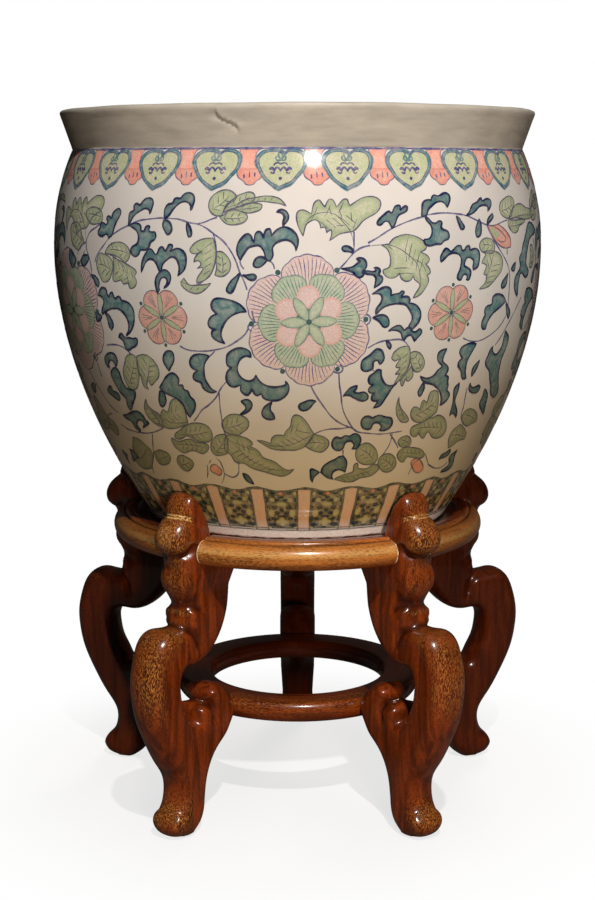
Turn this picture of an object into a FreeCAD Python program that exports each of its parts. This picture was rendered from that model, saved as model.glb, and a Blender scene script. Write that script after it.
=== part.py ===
"""Porcelain fishbowl planter on a five-leg hardwood stand.

Frame: millimetres, +Z up, origin on the floor under the bowl's axis.
Front is -Y.  The stand is glued up and rigid; the bowl only rests in it.
"""

import math
import os

import FreeCAD, Part

V = FreeCAD.Vector

# ---------------------------------------------------------------- driving sizes
# Stand: overall layout
LEG_COUNT = 5
STAND_TOP = 275.0            # top of the apron moulding above the floor
LEG_THICKNESS = 38.0         # board thickness of a leg, across its own plane
LEG_EDGE_ROUND = 6.0         # rounding of the leg's long edges

# Apron rail: five curved lengths between the legs
PANEL_MARGIN = 12.5          # panel rebate beyond the bowl's foot
PANEL_LEDGE = 15.5           # rail left under the panel's edge
RAIL_NOSE_HEIGHT = 22.0      # height of the round nose
RAIL_NOSE_DEPTH = 9.5        # how far the nose swells past its two corners
BEAD_WIDTH = 13.0            # upper moulding between the nose and the panel
BEAD_HEIGHT = 3.0
GROOVE_WIDTH = 1.5
GROOVE_DEPTH = 1.5

# Round top panel let into the rail
PANEL_THICKNESS = 12.0
PANEL_DROP = 4.0             # panel face below the top of the moulding

# Stretcher ring that ties the five hooks together
RING_INSET = 59.0            # its outer edge in from the apron's crest
RING_WIDTH = 35.7
RING_THICKNESS = 18.5
RING_TOP = 111.6
RING_NOSE_DEPTH = 6.0        # swell of the ring's rounded edges
RING_HOUSING = 2.0           # how deep the ring is let into each hook

# Leg: places that the carved outline hangs on
FOOT_OUTSET = 6.5            # middle of the foot's flat out from the apron's crest
FOOT_FLAT = 15.0
KNEE_OUTSET = 55.5           # furthest swell of the outer curve, likewise
HORN_RISE = 42.0             # horn above the moulding
HORN_TIP_WIDTH = 22.0        # across the horn at its tip
HORN_TAPER_RISE = 4.0        # the taper starts this far above the moulding
HORN_GAP = 5.5               # clear space between horn and bowl

# Bowl
BOWL_HEIGHT = 377.7
BOWL_WALL = 11.0
BOWL_FLOOR = 14.0
BELLY_R = 228.0
BELLY_RISE = 250.0           # height of the widest place above the foot
SIDE_FULLNESS = 1.9          # how late the side turns in below the belly
SHOULDER_FULLNESS = 2.2      # the same above it
FOOT_RING_R = 141.0
FOOT_RING_WIDTH = 14.0
FOOT_RING_DEPTH = 4.0        # hollow under the base, inside the foot ring
NECK_R = 209.0               # at the line under the rim
NECK_RISE = 342.0
RIM_R = 220.0
LIP_ROUND = 4.0              # corner radius of the lip
RIM_WALL = 15.0

# Joinery
RAIL_DOWEL_D = 10.0
RAIL_DOWEL_IN_LEG = 15.0
RAIL_DOWEL_IN_RAIL = 21.0
RING_DOWEL_D = 8.0
RING_DOWEL_LENGTH = 40.0
SCREW_SHANK_D = 4.5
SCREW_HEAD_D = 8.0
SCREW_LENGTH = 46.0
JOINT_COVER = 1.8            # wood left over a dowel

# Clearances
SEAT_GAP = 0.3               # bowl foot over the panel
PANEL_GAP = 0.3              # panel edge in its rebate
DOWEL_GAP = 0.1              # round a dowel or a screw
DOWEL_END_GAP = 0.5
RING_GAP = 0.2               # ring in the hooks' housings
ARC_TOLERANCE = 0.3          # carved outlines: arcs to the curve drawn
SIDE_STEPS = 6               # points on each half of the bowl's side

# ---------------------------------------------------------------- derived sizes
LEG_STEP = 360.0 / LEG_COUNT
RAIL_TOP = STAND_TOP - BEAD_HEIGHT
RAIL_BOTTOM = RAIL_TOP - RAIL_NOSE_HEIGHT
RAIL_MIDDLE = RAIL_TOP - RAIL_NOSE_HEIGHT / 2
REBATE_R = FOOT_RING_R + PANEL_MARGIN
RAIL_INNER_R = REBATE_R - PANEL_LEDGE
NOSE_START_R = REBATE_R + BEAD_WIDTH + GROOVE_WIDTH
RAIL_OUTER_R = NOSE_START_R + RAIL_NOSE_DEPTH
HORN_TIP_Z = STAND_TOP + HORN_RISE
FOOT_R = RAIL_OUTER_R + FOOT_OUTSET
KNEE_R = RAIL_OUTER_R + KNEE_OUTSET
PANEL_TOP = STAND_TOP - PANEL_DROP
PANEL_BOTTOM = PANEL_TOP - PANEL_THICKNESS
PANEL_R = REBATE_R - PANEL_GAP
RING_OUTER_R = RAIL_OUTER_R - RING_INSET
RING_INNER_R = RING_OUTER_R - RING_WIDTH
RING_BOTTOM = RING_TOP - RING_THICKNESS
RING_MIDDLE = RING_TOP - RING_THICKNESS / 2
BOWL_BASE = PANEL_TOP + SEAT_GAP
BELLY_Z = BOWL_BASE + BELLY_RISE
NECK_Z = BOWL_BASE + NECK_RISE
BOWL_TOP = BOWL_BASE + BOWL_HEIGHT


def polar(radius, degrees, z=0.0):
    """Point at a radius and a turn about the bowl's axis."""
    turn = math.radians(degrees)
    return V(radius * math.cos(turn), radius * math.sin(turn), z)


def leg_turn(index):
    """Turn of a leg's plane; two legs stand left and right of the front."""
    return -90.0 + LEG_STEP / 2 + LEG_STEP * index


def turned(shape, degrees):
    """Copy of a shape turned about the bowl's axis."""
    copy = shape.copy()
    copy.rotate(V(0, 0, 0), V(0, 0, 1), degrees)
    return copy


def rz(points):
    """Points of a profile, given as (radius, height), in the XZ plane."""
    return [V(r, 0, z) for r, z in points]


def line(start, end):
    return Part.makeLine(*rz([start, end]))


def arc(start, middle, end):
    return Part.Arc(*rz([start, middle, end])).toShape()


def flowing(points):
    """One smooth curve through the points of a profile."""
    curve = Part.BSplineCurve()
    curve.interpolate(rz(points))
    return curve


def tangent_arcs(points):
    """Arcs that follow a smooth curve through the points of a profile."""
    return [piece.toShape() for piece in flowing(points).toBiArcs(ARC_TOLERANCE)]


def lathe(edges):
    """Solid of revolution from a closed profile."""
    face = Part.Face(Part.Wire(Part.__sortEdges__(edges)))
    return face.revolve(V(0, 0, 0), V(0, 0, 1), 360)


def save(shape, node):
    shape.exportStep("parts/" + node + ".step")


# ---------------------------------------------------------------- bowl
def bowl_side(z):
    """Outer radius of the bowl at a height, and the side's lean outward there."""
    if z < BELLY_Z:
        span, swell, power = BELLY_Z - BOWL_BASE, BELLY_R - FOOT_RING_R, SIDE_FULLNESS
    else:
        span, swell, power = NECK_Z - BELLY_Z, BELLY_R - NECK_R, SHOULDER_FULLNESS
    away = abs(z - BELLY_Z) / span
    lean = swell * power * away ** (power - 1) / span
    return BELLY_R - swell * away ** power, lean


def bowl_curves(low, high, wall):
    """Side of the bowl between two heights, set in by the wall."""
    curves = []
    for start, end in ((low, BELLY_Z), (BELLY_Z, high)):
        points = []
        for step in range(SIDE_STEPS + 1):
            z = start + (end - start) * step / SIDE_STEPS
            radius, lean = bowl_side(z)
            points.append((radius - wall * math.hypot(1, lean), z))
        curves.append(flowing(points).toShape())
    return curves, points[-1]


def make_bowl():
    outer_curves, neck = bowl_curves(BOWL_BASE, NECK_Z, 0.0)
    floor_z = BOWL_BASE + BOWL_FLOOR
    inner_curves, inner_neck = bowl_curves(floor_z, NECK_Z, BOWL_WALL)
    floor_r, lean = bowl_side(floor_z)
    floor_edge = (floor_r - BOWL_WALL * math.hypot(1, lean), floor_z)
    lip_low = BOWL_TOP - LIP_ROUND
    bevel = LIP_ROUND * (1 - math.cos(math.radians(45)))
    lip_in = RIM_R - RIM_WALL
    ring_in = FOOT_RING_R - FOOT_RING_WIDTH
    hollow_top = BOWL_BASE + FOOT_RING_DEPTH
    edges = outer_curves + [
        line(neck, (RIM_R, lip_low)),
        arc((RIM_R, lip_low), (RIM_R - bevel, BOWL_TOP - bevel), (RIM_R - LIP_ROUND, BOWL_TOP)),
        line((RIM_R - LIP_ROUND, BOWL_TOP), (lip_in + LIP_ROUND, BOWL_TOP)),
        arc((lip_in + LIP_ROUND, BOWL_TOP), (lip_in + bevel, BOWL_TOP - bevel), (lip_in, lip_low)),
        line((lip_in, lip_low), inner_neck),
    ] + inner_curves + [
        line(floor_edge, (0, floor_z)),
        line((0, floor_z), (0, hollow_top)),
        line((0, hollow_top), (ring_in, hollow_top)),
        line((ring_in, hollow_top), (ring_in, BOWL_BASE)),
        line((ring_in, BOWL_BASE), (FOOT_RING_R, BOWL_BASE)),
    ]
    return lathe(edges)


# ---------------------------------------------------------------- stand: round parts
def make_panel():
    return Part.makeCylinder(PANEL_R, PANEL_THICKNESS, V(0, 0, PANEL_BOTTOM))


def rail_ring():
    """Whole apron moulding as one ring, before it is cut into lengths."""
    groove_in = NOSE_START_R - GROOVE_WIDTH
    bead_top_r = groove_in - BEAD_HEIGHT
    soften = BEAD_HEIGHT * (1 - math.cos(math.radians(45)))
    return lathe([
        line((RAIL_INNER_R, RAIL_BOTTOM), (NOSE_START_R, RAIL_BOTTOM)),
        arc((NOSE_START_R, RAIL_BOTTOM), (RAIL_OUTER_R, RAIL_MIDDLE), (NOSE_START_R, RAIL_TOP)),
        line((NOSE_START_R, RAIL_TOP), (NOSE_START_R, RAIL_TOP - GROOVE_DEPTH)),
        line((NOSE_START_R, RAIL_TOP - GROOVE_DEPTH), (groove_in, RAIL_TOP - GROOVE_DEPTH)),
        line((groove_in, RAIL_TOP - GROOVE_DEPTH), (groove_in, RAIL_TOP)),
        arc((groove_in, RAIL_TOP), (groove_in - soften, STAND_TOP - soften), (bead_top_r, STAND_TOP)),
        line((bead_top_r, STAND_TOP), (REBATE_R, STAND_TOP)),
        line((REBATE_R, STAND_TOP), (REBATE_R, PANEL_BOTTOM)),
        line((REBATE_R, PANEL_BOTTOM), (RAIL_INNER_R, PANEL_BOTTOM)),
        line((RAIL_INNER_R, PANEL_BOTTOM), (RAIL_INNER_R, RAIL_BOTTOM)),
    ])


def stretcher_ring(grow=0.0):
    """Whole stretcher as one ring; grow widens it into its housing."""
    inner, outer = RING_INNER_R - grow, RING_OUTER_R + grow
    bottom, top = RING_BOTTOM - grow, RING_TOP + grow
    inner_flat, outer_flat = inner + RING_NOSE_DEPTH, outer - RING_NOSE_DEPTH
    return lathe([
        line((inner_flat, bottom), (outer_flat, bottom)),
        arc((outer_flat, bottom), (outer, RING_MIDDLE), (outer_flat, top)),
        line((outer_flat, top), (inner_flat, top)),
        arc((inner_flat, top), (inner, RING_MIDDLE), (inner_flat, bottom)),
    ])


def sector(middle_turn, setback, reach):
    """Upright wedge one leg step wide, its sides set back from the leg planes."""
    half = math.radians(LEG_STEP / 2)
    apex_r = setback / math.sin(half)
    side = reach / math.cos(half)
    apex = polar(apex_r, middle_turn)
    corners = [apex]
    for turn in (middle_turn - LEG_STEP / 2, middle_turn + LEG_STEP / 2):
        corners.append(apex + polar(side, turn))
    corners.append(apex)
    face = Part.Face(Part.makePolygon(corners))
    return face.extrude(V(0, 0, STAND_TOP))


# ---------------------------------------------------------------- stand: legs
DRAWN_RING_Z = 102.0         # heights that the leg's points are drawn for
DRAWN_RAIL_Z = 250.0


def level(z):
    """Height of a drawn point: the hook goes with the ring, the top with the rail."""
    if z > DRAWN_RAIL_Z:
        return RAIL_BOTTOM + z - DRAWN_RAIL_Z
    if z > DRAWN_RING_Z:
        share = (z - DRAWN_RING_Z) / (DRAWN_RAIL_Z - DRAWN_RING_Z)
        return RING_MIDDLE + share * (RAIL_BOTTOM - RING_MIDDLE)
    return RING_MIDDLE * z / DRAWN_RING_Z


def out_from(radius, points):
    """Profile points drawn as (distance out from a radius, height)."""
    return [(radius + out, level(z)) for out, z in points]


def horn_face(z):
    """Radius of the horn's inner face, clear of the bowl's side."""
    return bowl_side(z)[0] + HORN_GAP


def outer_curve():
    """Horn, knob, waist, neck, shoulder, knee, ankle and toe, top to bottom."""
    face = [(horn_face(HORN_TIP_Z - drop), HORN_TIP_Z - drop) for drop in (28.0, 15.0)]
    tip_r = horn_face(HORN_TIP_Z) + 3.0
    tip = [(tip_r + out, HORN_TIP_Z - drop)
           for out, drop in ((-7, 5), (0, 0), (7.5, 4.5), (10.5, 13), (12.5, 21))]
    knob = out_from(tip_r, [(17.5, 291), (25, 282), (27, 274), (24, 265), (16.5, 257)])
    waist = out_from(RAIL_OUTER_R, [(10, 248), (12, 237), (10, 226), (6, 212), (5.5, 203)])
    shoulder = out_from(RAIL_OUTER_R, [(10, 197), (20, 196), (31, 197)])
    knee = out_from(KNEE_R, [(-13, 191), (-4.5, 175), (0, 153), (-0.8, 136), (-5, 116)])
    calf = out_from(KNEE_R, [(-16, 91), (-30, 67)])
    ankle = out_from(FOOT_R, [(9, 50), (9, 38)])
    toe = out_from(FOOT_R, [(14, 27), (21, 19.5), (23, 12.5), (18, 4)])
    start, end = (REBATE_R, STAND_TOP), (FOOT_R + FOOT_FLAT / 2, 0.0)
    return [start] + face + tip + knob + waist + shoulder + knee + calf + ankle + toe + [end]


def inner_curve():
    """Heel, hook with its scroll, crotch, under-arm and breast, bottom to top."""
    start = (FOOT_R - FOOT_FLAT / 2, 0.0)
    heel = out_from(FOOT_R, [(-18, 8), (-24.5, 22), (-26.5, 41), (-31, 58)])
    spur = out_from(RING_OUTER_R, [(24, 71), (12, 80), (3.5, 91), (-RING_HOUSING, 103)])
    hook_tip = out_from(
        RING_OUTER_R, [(0, 113), (6.5, 123), (16.5, 131), (28.5, 133.5), (38, 128), (41, 120)])
    scroll = out_from(RING_OUTER_R, [(47, 118.5), (52.5, 113), (54.5, 105.5)])
    crotch = out_from(RING_OUTER_R, [(57.5, 104.5), (64, 112.5), (70.5, 125), (74, 140), (73, 152)])
    under_arm = out_from(RAIL_OUTER_R, [(10, 156.5), (-3, 157), (-15.5, 159), (-28, 166.5)])
    breast = out_from(RAIL_OUTER_R, [(-40, 179), (-48.5, 194), (-54.5, 214), (-58, 236), (-59, 250)])
    return [start] + heel + spur + hook_tip + scroll + crotch + under_arm + breast


def horn_side_cuts():
    """Two blocks that thin the horn from the full board to its tip."""
    half, tip_half = LEG_THICKNESS / 2, HORN_TIP_WIDTH / 2
    low, high = STAND_TOP + HORN_TAPER_RISE, HORN_TIP_Z + half
    corners = [(half, low), (tip_half, HORN_TIP_Z), (tip_half, high),
               (2 * half, high), (2 * half, low)]
    blocks = []
    for side in (-1, 1):
        points = [V(RAIL_INNER_R, side * y, z) for y, z in corners]
        face = Part.Face(Part.makePolygon(points + points[:1]))
        blocks.append(face.extrude(V(RAIL_OUTER_R - RAIL_INNER_R + LEG_THICKNESS, 0, 0)))
    return blocks


def make_leg():
    """One leg in its own plane, radius along X, standing to the right."""
    outer, inner = outer_curve(), inner_curve()
    breast_top = inner[-1]
    shelf_in = (breast_top[0], PANEL_BOTTOM)
    shelf_out = (REBATE_R, PANEL_BOTTOM)
    edges = tangent_arcs(outer) + tangent_arcs(inner) + [
        line(outer[-1], inner[0]),
        line(breast_top, shelf_in),
        line(shelf_in, shelf_out),
        line(shelf_out, outer[0]),
    ]
    face = Part.Face(Part.Wire(Part.__sortEdges__(edges)))
    face.translate(V(0, -LEG_THICKNESS / 2, 0))
    board = face.extrude(V(0, LEG_THICKNESS, 0))
    carved = [edge for edge in board.Edges if edge.Curve.TypeId == "Part::GeomCircle"]
    board = board.makeFillet(LEG_EDGE_ROUND, carved)
    for block in horn_side_cuts():
        board = board.cut(block)
    return board.cut(stretcher_ring(RING_GAP))


# ---------------------------------------------------------------- joinery
RAIL_DOWEL_R = (REBATE_R + NOSE_START_R) / 2
RING_DOWEL_R = (RING_INNER_R + RING_OUTER_R) / 2
RING_DOWEL_Z = RING_TOP - JOINT_COVER - RING_DOWEL_D / 2
SCREW_Z = RING_BOTTOM + SCREW_HEAD_D / 2
SCREW_START_R = RING_INNER_R + RING_NOSE_DEPTH


def peg(diameter, start, end, gap=0.0, end_gap=0.0):
    """Round peg between two points, or its hole when gaps are given."""
    along = (end - start).normalize()
    foot = start - along * end_gap
    length = (end - start).Length + 2 * end_gap
    return Part.makeCylinder(diameter / 2 + gap, length, foot, along)


def rail_dowels(gap=0.0, end_gap=0.0):
    """The two dowels of one leg, one on each side, in the leg's own plane."""
    start_y = LEG_THICKNESS / 2 - RAIL_DOWEL_IN_LEG
    end_y = LEG_THICKNESS / 2 + RAIL_DOWEL_IN_RAIL
    return [
        peg(RAIL_DOWEL_D, V(RAIL_DOWEL_R, side * start_y, RAIL_MIDDLE),
            V(RAIL_DOWEL_R, side * end_y, RAIL_MIDDLE), gap, end_gap)
        for side in (-1, 1)
    ]


def ring_dowel(gap=0.0, end_gap=0.0):
    """Dowel across the joint of two stretcher lengths, behind a leg."""
    half = RING_DOWEL_LENGTH / 2
    return peg(RING_DOWEL_D, V(RING_DOWEL_R, -half, RING_DOWEL_Z),
               V(RING_DOWEL_R, half, RING_DOWEL_Z), gap, end_gap)


def hook_screw(gap=0.0, end_gap=0.0):
    """Countersunk screw from the ring's inner edge out into the hook."""
    head_r, shank_r = SCREW_HEAD_D / 2 + gap, SCREW_SHANK_D / 2 + gap
    head_depth = SCREW_HEAD_D / 3     # the head's usual 90 degree cone
    head_start = V(SCREW_START_R, 0, SCREW_Z)
    head = Part.makeCone(head_r, shank_r, head_depth, head_start, V(1, 0, 0))
    shank_start = head_start + V(head_depth, 0, 0)
    shank = Part.makeCylinder(
        shank_r, SCREW_LENGTH - head_depth + end_gap, shank_start, V(1, 0, 0))
    screw = head.fuse(shank)
    if gap:
        sink = Part.makeCylinder(head_r, 2 * RING_NOSE_DEPTH,
                                 head_start - V(2 * RING_NOSE_DEPTH, 0, 0), V(1, 0, 0))
        screw = screw.fuse(sink)
    return screw.removeSplitter()


def bored(shape, holes):
    for hole in holes:
        shape = shape.cut(hole)
    return shape


# ---------------------------------------------------------------- assembly
def main():
    os.makedirs("parts", exist_ok=True)
    save(make_bowl(), "bowl")
    save(make_panel(), "top_panel")

    rail_holes = rail_dowels(DOWEL_GAP, DOWEL_END_GAP)
    ring_hole = ring_dowel(DOWEL_GAP, DOWEL_END_GAP)
    screw_hole = hook_screw(DOWEL_GAP, DOWEL_END_GAP)
    leg = bored(make_leg(), rail_holes + [screw_hole])
    turns = [leg_turn(index) for index in range(LEG_COUNT)]
    for index, turn in enumerate(turns):
        save(turned(leg, turn), "leg_%d" % (index + 1))

    rails, ring = rail_ring(), stretcher_ring()
    for index, turn in enumerate(turns):
        middle = turn - LEG_STEP / 2
        ends = (turn - LEG_STEP, turn)
        holes = [turned(hole, end) for end in ends for hole in rail_holes]
        rail = bored(rails.common(sector(middle, LEG_THICKNESS / 2, 2 * RAIL_OUTER_R)), holes)
        save(rail, "apron_rail_%d" % (index + 1))
        holes = [turned(hole, end) for end in ends for hole in (ring_hole, screw_hole)]
        length = bored(ring.common(sector(middle, 0.0, 2 * RING_OUTER_R)), holes)
        save(length, "stretcher_%d" % (index + 1))

    pegs = [turned(dowel, turn) for turn in turns for dowel in rail_dowels()]
    save(Part.makeCompound(pegs), "rail_dowels")
    save(Part.makeCompound([turned(ring_dowel(), turn) for turn in turns]), "stretcher_dowels")
    save(Part.makeCompound([turned(hook_screw(), turn) for turn in turns]), "hook_screws")


main()
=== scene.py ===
"""Painted porcelain jardiniere on its carved hardwood stand.

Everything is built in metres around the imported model, which stays as it is.
Sizes below are written in millimetres, as they are measured, and turned to
metres where a mesh is made.  Turns are degrees round the bowl from the front,
positive to the right.
"""

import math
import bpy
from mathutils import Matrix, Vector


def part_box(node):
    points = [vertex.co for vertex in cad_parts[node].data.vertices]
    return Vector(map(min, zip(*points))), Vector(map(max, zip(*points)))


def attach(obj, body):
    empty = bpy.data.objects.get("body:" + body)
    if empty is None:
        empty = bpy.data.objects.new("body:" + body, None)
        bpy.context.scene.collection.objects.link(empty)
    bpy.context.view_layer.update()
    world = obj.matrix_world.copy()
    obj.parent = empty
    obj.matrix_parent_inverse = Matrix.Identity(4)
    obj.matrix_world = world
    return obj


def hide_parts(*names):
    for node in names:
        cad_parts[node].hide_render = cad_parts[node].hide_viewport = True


bl_info = {
    "name": "Jardiniere on Stand",
    "version": (1, 0, 0),
    "blender": (4, 5, 0),
    "location": "View3D > Sidebar > Jardiniere",
    "description": "Dresses the packed planter and stand with glaze, painting and lacquered wood",
    "category": "Object",
}

import bpy
import numpy as np
from bpy.props import FloatProperty, FloatVectorProperty, IntProperty, PointerProperty
from mathutils import Vector
from mathutils.geometry import delaunay_2d_cdt

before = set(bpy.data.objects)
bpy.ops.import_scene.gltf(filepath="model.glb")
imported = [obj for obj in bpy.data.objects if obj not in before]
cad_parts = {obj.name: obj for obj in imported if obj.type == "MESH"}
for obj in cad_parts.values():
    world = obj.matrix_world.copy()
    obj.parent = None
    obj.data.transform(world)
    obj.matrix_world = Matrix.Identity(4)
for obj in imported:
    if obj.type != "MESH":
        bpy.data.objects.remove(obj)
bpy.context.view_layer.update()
MM = 0.001


# ------------------------------------------------------------------ colours and nodes
BLEND = {"data_type": "RGBA"}
MULTIPLY = {"data_type": "RGBA", "blend_type": "MULTIPLY"}


def linear(hex_colour):
    """Linear red, green, blue and alpha of an sRGB hex colour."""
    parts = [int(hex_colour[i:i + 2], 16) / 255 for i in (1, 3, 5)]
    return tuple(c / 12.92 if c <= 0.04045 else ((c + 0.055) / 1.055) ** 2.4 for c in parts) + (1.0,)


def shaded(colour, share):
    """A colour with its light multiplied by a share."""
    return tuple(c * share for c in colour[:3]) + (1.0,)


def add_node(tree, kind, inputs=None, stops=None, **settings):
    """Adds a node; stops are a ramp's.  An input is a value, a socket, or a node whose first
    output in use feeds it."""
    node = tree.nodes.new(kind)
    for name, value in settings.items():
        setattr(node, name, value)
    for place, colour in stops or ():
        node.color_ramp.elements.new(place).color = colour
    if stops:
        for spare in (-1, 0):
            node.color_ramp.elements.remove(node.color_ramp.elements[spare])
    for key, value in (inputs or {}).items():
        if isinstance(value, bpy.types.Node):
            value = next(socket for socket in value.outputs if socket.enabled)
        if isinstance(value, bpy.types.NodeSocket):
            tree.links.new(value, node.inputs[key])
        else:
            node.inputs[key].default_value = value
    return node


def new_material(name, along_grain=False):
    """An empty material, its tree, and the places that its patterns follow: the piece's own
    coordinates, or the ones laid along its grain."""
    material = bpy.data.materials.new(name)
    material.use_nodes = True
    tree = material.node_tree
    tree.nodes.clear()
    if along_grain:
        return material, tree, add_node(tree, "ShaderNodeAttribute", attribute_name="grain").outputs["Vector"]
    return material, tree, add_node(tree, "ShaderNodeTexCoord").outputs["Object"]


# ------------------------------------------------------------------ settings a user would change
def tint(name, description, hex_colour):
    """A colour setting that starts at an sRGB hex colour."""
    return FloatVectorProperty(name=name, description=description, subtype="COLOR",
                               size=4, min=0, max=1, default=linear(hex_colour))


class JardiniereBowlSettings(bpy.types.PropertyGroup):
    """Porcelain bowl."""

    belly_radius: FloatProperty(
        name="Belly radius", description="Widest radius of the bowl",
        default=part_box("bowl")[1].x, unit="LENGTH")
    segments: IntProperty(
        name="Segments", description="Steps round the bowl", default=360, min=90)
    glaze_colour: tint("Glaze", "Colour of the clear-glazed porcelain", "#DCD7D0")
    rim_colour: tint("Rim", "Colour of the satin rim band", "#ADA598")


class JardinierePaintSettings(bpy.types.PropertyGroup):
    """Overglaze enamels."""

    teal: tint("Teal", "Scroll leaves", "#567F82")
    ink_teal: tint("Ink teal", "Outlines of the scroll leaves", "#1A2650")
    band_teal: tint("Band teal", "Bands round the collar's hearts", "#4E8688")
    leaf_green: tint("Leaf green", "Pale lotus leaves", "#B4BE98")
    sepal_green: tint("Sepal green", "Greyer green of the lotus sepals", "#AEBFA2")
    leaf_edge: tint("Leaf edge", "Pooled edges of the pale leaves", "#8FA07E")
    heart_green: tint("Heart green", "Hearts of the collar border", "#B9C198")
    petal_pink: tint("Petal pink", "Lotus petals", "#E2C3BE")
    small_pink: tint("Flower pink", "Petals of the small flowers", "#D9A294")
    border_pink: tint("Border pink", "Tips of the collar's pendants, and buds", "#E59A88")
    stripe_pink: tint("Stripe pink", "Stripes of the foot border", "#E6C4B6")
    olive: tint("Olive", "Ground of the foot panels", "#585A42")
    pale_yellow: tint("Pale yellow", "Lozenges of the foot panels", "#BDBE94")
    foot_line: tint("Foot line", "Lines of the foot border", "#4F5A58")
    line_blue: tint("Line blue", "Cobalt lines of the collar", "#4A4A80")
    vine_blue: tint("Vine blue", "Thin stems and petal veins", "#57588A")
    grey_line: tint("Grey line", "Outlines of the pale leaves", "#56566E")
    flower_line: tint("Flower line", "Outlines of the small flowers", "#5E5470")
    line_width: FloatProperty(
        name="Line width", description="Brush line round a leaf, in millimetres",
        default=1.25, min=0.3, max=3.0)


class JardiniereStandSettings(bpy.types.PropertyGroup):
    """Hardwood stand."""

    edge_round: FloatProperty(
        name="Edge rounding", description="How far the carving rounds a leg's faces, in millimetres",
        default=12.5, min=4.0, max=18.0)
    # The dark wood fills the pores and, as painted shade, the recesses and the pieces at the sides and back.
    wood_pores_and_shade: tint("Wood, dark", "Stain in the recesses", "#240601")
    wood_mid: tint("Wood, middle", "Lacquered wood", "#6B2A09")
    wood_brown: tint("Wood, rubbed", "Brown ground of the rubbed places", "#4A1807")
    # The rails' honey-brown ground is painted lighter than the legs', partly as painted reflection of the
    # bowl and lamp above.
    rail_ground_and_reflection: tint("Wood, rails", "Honey-brown ground of the rubbed rails", "#9C5C26")
    # The gold colour lights the places of wear and, as painted highlight, the places where the light falls.
    wood_gold_and_highlight: tint("Wood, worn", "Rubbed places where the stain is thin", "#A96C30")


class JardiniereStageSettings(bpy.types.PropertyGroup):
    """Camera, lamps and floor."""

    lens: FloatProperty(
        name="Lens", description="Focal length, in millimetres", default=64.5, min=20, max=200)
    camera_height: FloatProperty(
        name="Camera height", description="Height of the camera above the floor",
        default=0.5931, unit="LENGTH")
    camera_distance: FloatProperty(
        name="Camera distance", description="Distance of the camera from the bowl's axis",
        default=1.5376, unit="LENGTH")
    camera_pitch: FloatProperty(
        name="Camera pitch", description="How far the camera looks down",
        default=math.radians(9.775), subtype="ANGLE")
    key_power: FloatProperty(
        name="Key light", description="Power of the front lamp, in watts", default=33.5, min=0)
    fill_power: FloatProperty(
        name="Fill light", description="Power of the low front lamp, in watts", default=28, min=0)
    rear_power: FloatProperty(
        name="Rear light", description="Power of the lamp behind, which shows the back", default=26, min=0)


# ------------------------------------------------------------------ drawing in the flat
def spline(points, spacing):
    """Smooth curve through drawn points, as evenly spaced points."""
    p = np.array(points, float)
    if len(p) == 2:
        count = max(2, int(np.hypot(*(p[1] - p[0])) / spacing) + 1)
        return p[0] + (p[1] - p[0]) * np.linspace(0, 1, count)[:, None]
    h = np.maximum(np.hypot(*np.diff(p, axis=0).T), 1e-6)
    t = np.r_[0, np.cumsum(h)]
    n = len(p)
    system, right = np.zeros((n, n)), np.zeros((n, 2))
    system[0, 0] = system[-1, -1] = 1
    for i in range(1, n - 1):
        system[i, i - 1:i + 2] = h[i - 1], 2 * (h[i - 1] + h[i]), h[i]
        right[i] = 6 * ((p[i + 1] - p[i]) / h[i] - (p[i] - p[i - 1]) / h[i - 1])
    bend = np.linalg.solve(system, right)
    u = np.linspace(0, t[-1], max(2, int(t[-1] / spacing) + 1))
    k = np.clip(np.searchsorted(t, u, side="right") - 1, 0, n - 2)
    a, b, w = (t[k + 1] - u)[:, None], (u - t[k])[:, None], h[k][:, None]
    return (bend[k] * a ** 3 + bend[k + 1] * b ** 3) / (6 * w) \
        + (p[k] / w - bend[k] * w / 6) * a + (p[k + 1] / w - bend[k + 1] * w / 6) * b


def ring_spline(points, spacing):
    """Smooth closed curve; a point with a third value is a corner."""
    corners = [i for i, point in enumerate(points) if len(point) == 3]
    loop = [tuple(point[:2]) for point in points]
    if not corners:
        fine = spline(loop[-3:] + loop + loop[:3], spacing)
        half = len(fine) // 2
        start = np.argmin(np.hypot(*(fine[:half] - loop[0]).T))
        end = half + np.argmin(np.hypot(*(fine[half:] - loop[0]).T))
        return fine[start:end]
    shift = corners[0]
    loop = loop[shift:] + loop[:shift] + [loop[shift]]
    cuts = [c - shift for c in corners] + [len(loop) - 1]
    return np.vstack([spline(loop[a:b + 1], spacing)[:-1] for a, b in zip(cuts, cuts[1:])])


def distance_to(points, line, closed=False):
    """Shortest distance from each point to a polyline, and the place along it."""
    ends = np.roll(line, -1, axis=0) if closed else line[1:]
    starts = line if closed else line[:-1]
    step = ends - starts
    size = np.maximum((step ** 2).sum(1), 1e-12)
    best, place = np.full(len(points), 1e9), np.zeros(len(points), int)
    for low in range(0, len(points), 2000):
        block = points[low:low + 2000, None]
        share = np.clip(((block - starts) * step).sum(2) / size, 0, 1)
        gap = np.sqrt(((block - starts - share[..., None] * step) ** 2).sum(2))
        place[low:low + 2000] = gap.argmin(1)
        best[low:low + 2000] = gap.min(1)
    return best, place


def inside(points, loop):
    """Which points lie inside a closed loop."""
    x, y = points[:, 0][:, None], points[:, 1][:, None]
    x0, y0 = loop[:, 0], loop[:, 1]
    x1, y1 = np.roll(x0, -1), np.roll(y0, -1)
    crosses = (y0 > y) != (y1 > y)
    slope = np.where(y1 == y0, 1e-9, y1 - y0)
    return (crosses & (x < (x1 - x0) * (y - y0) / slope + x0)).sum(1) % 2 == 1


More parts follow.
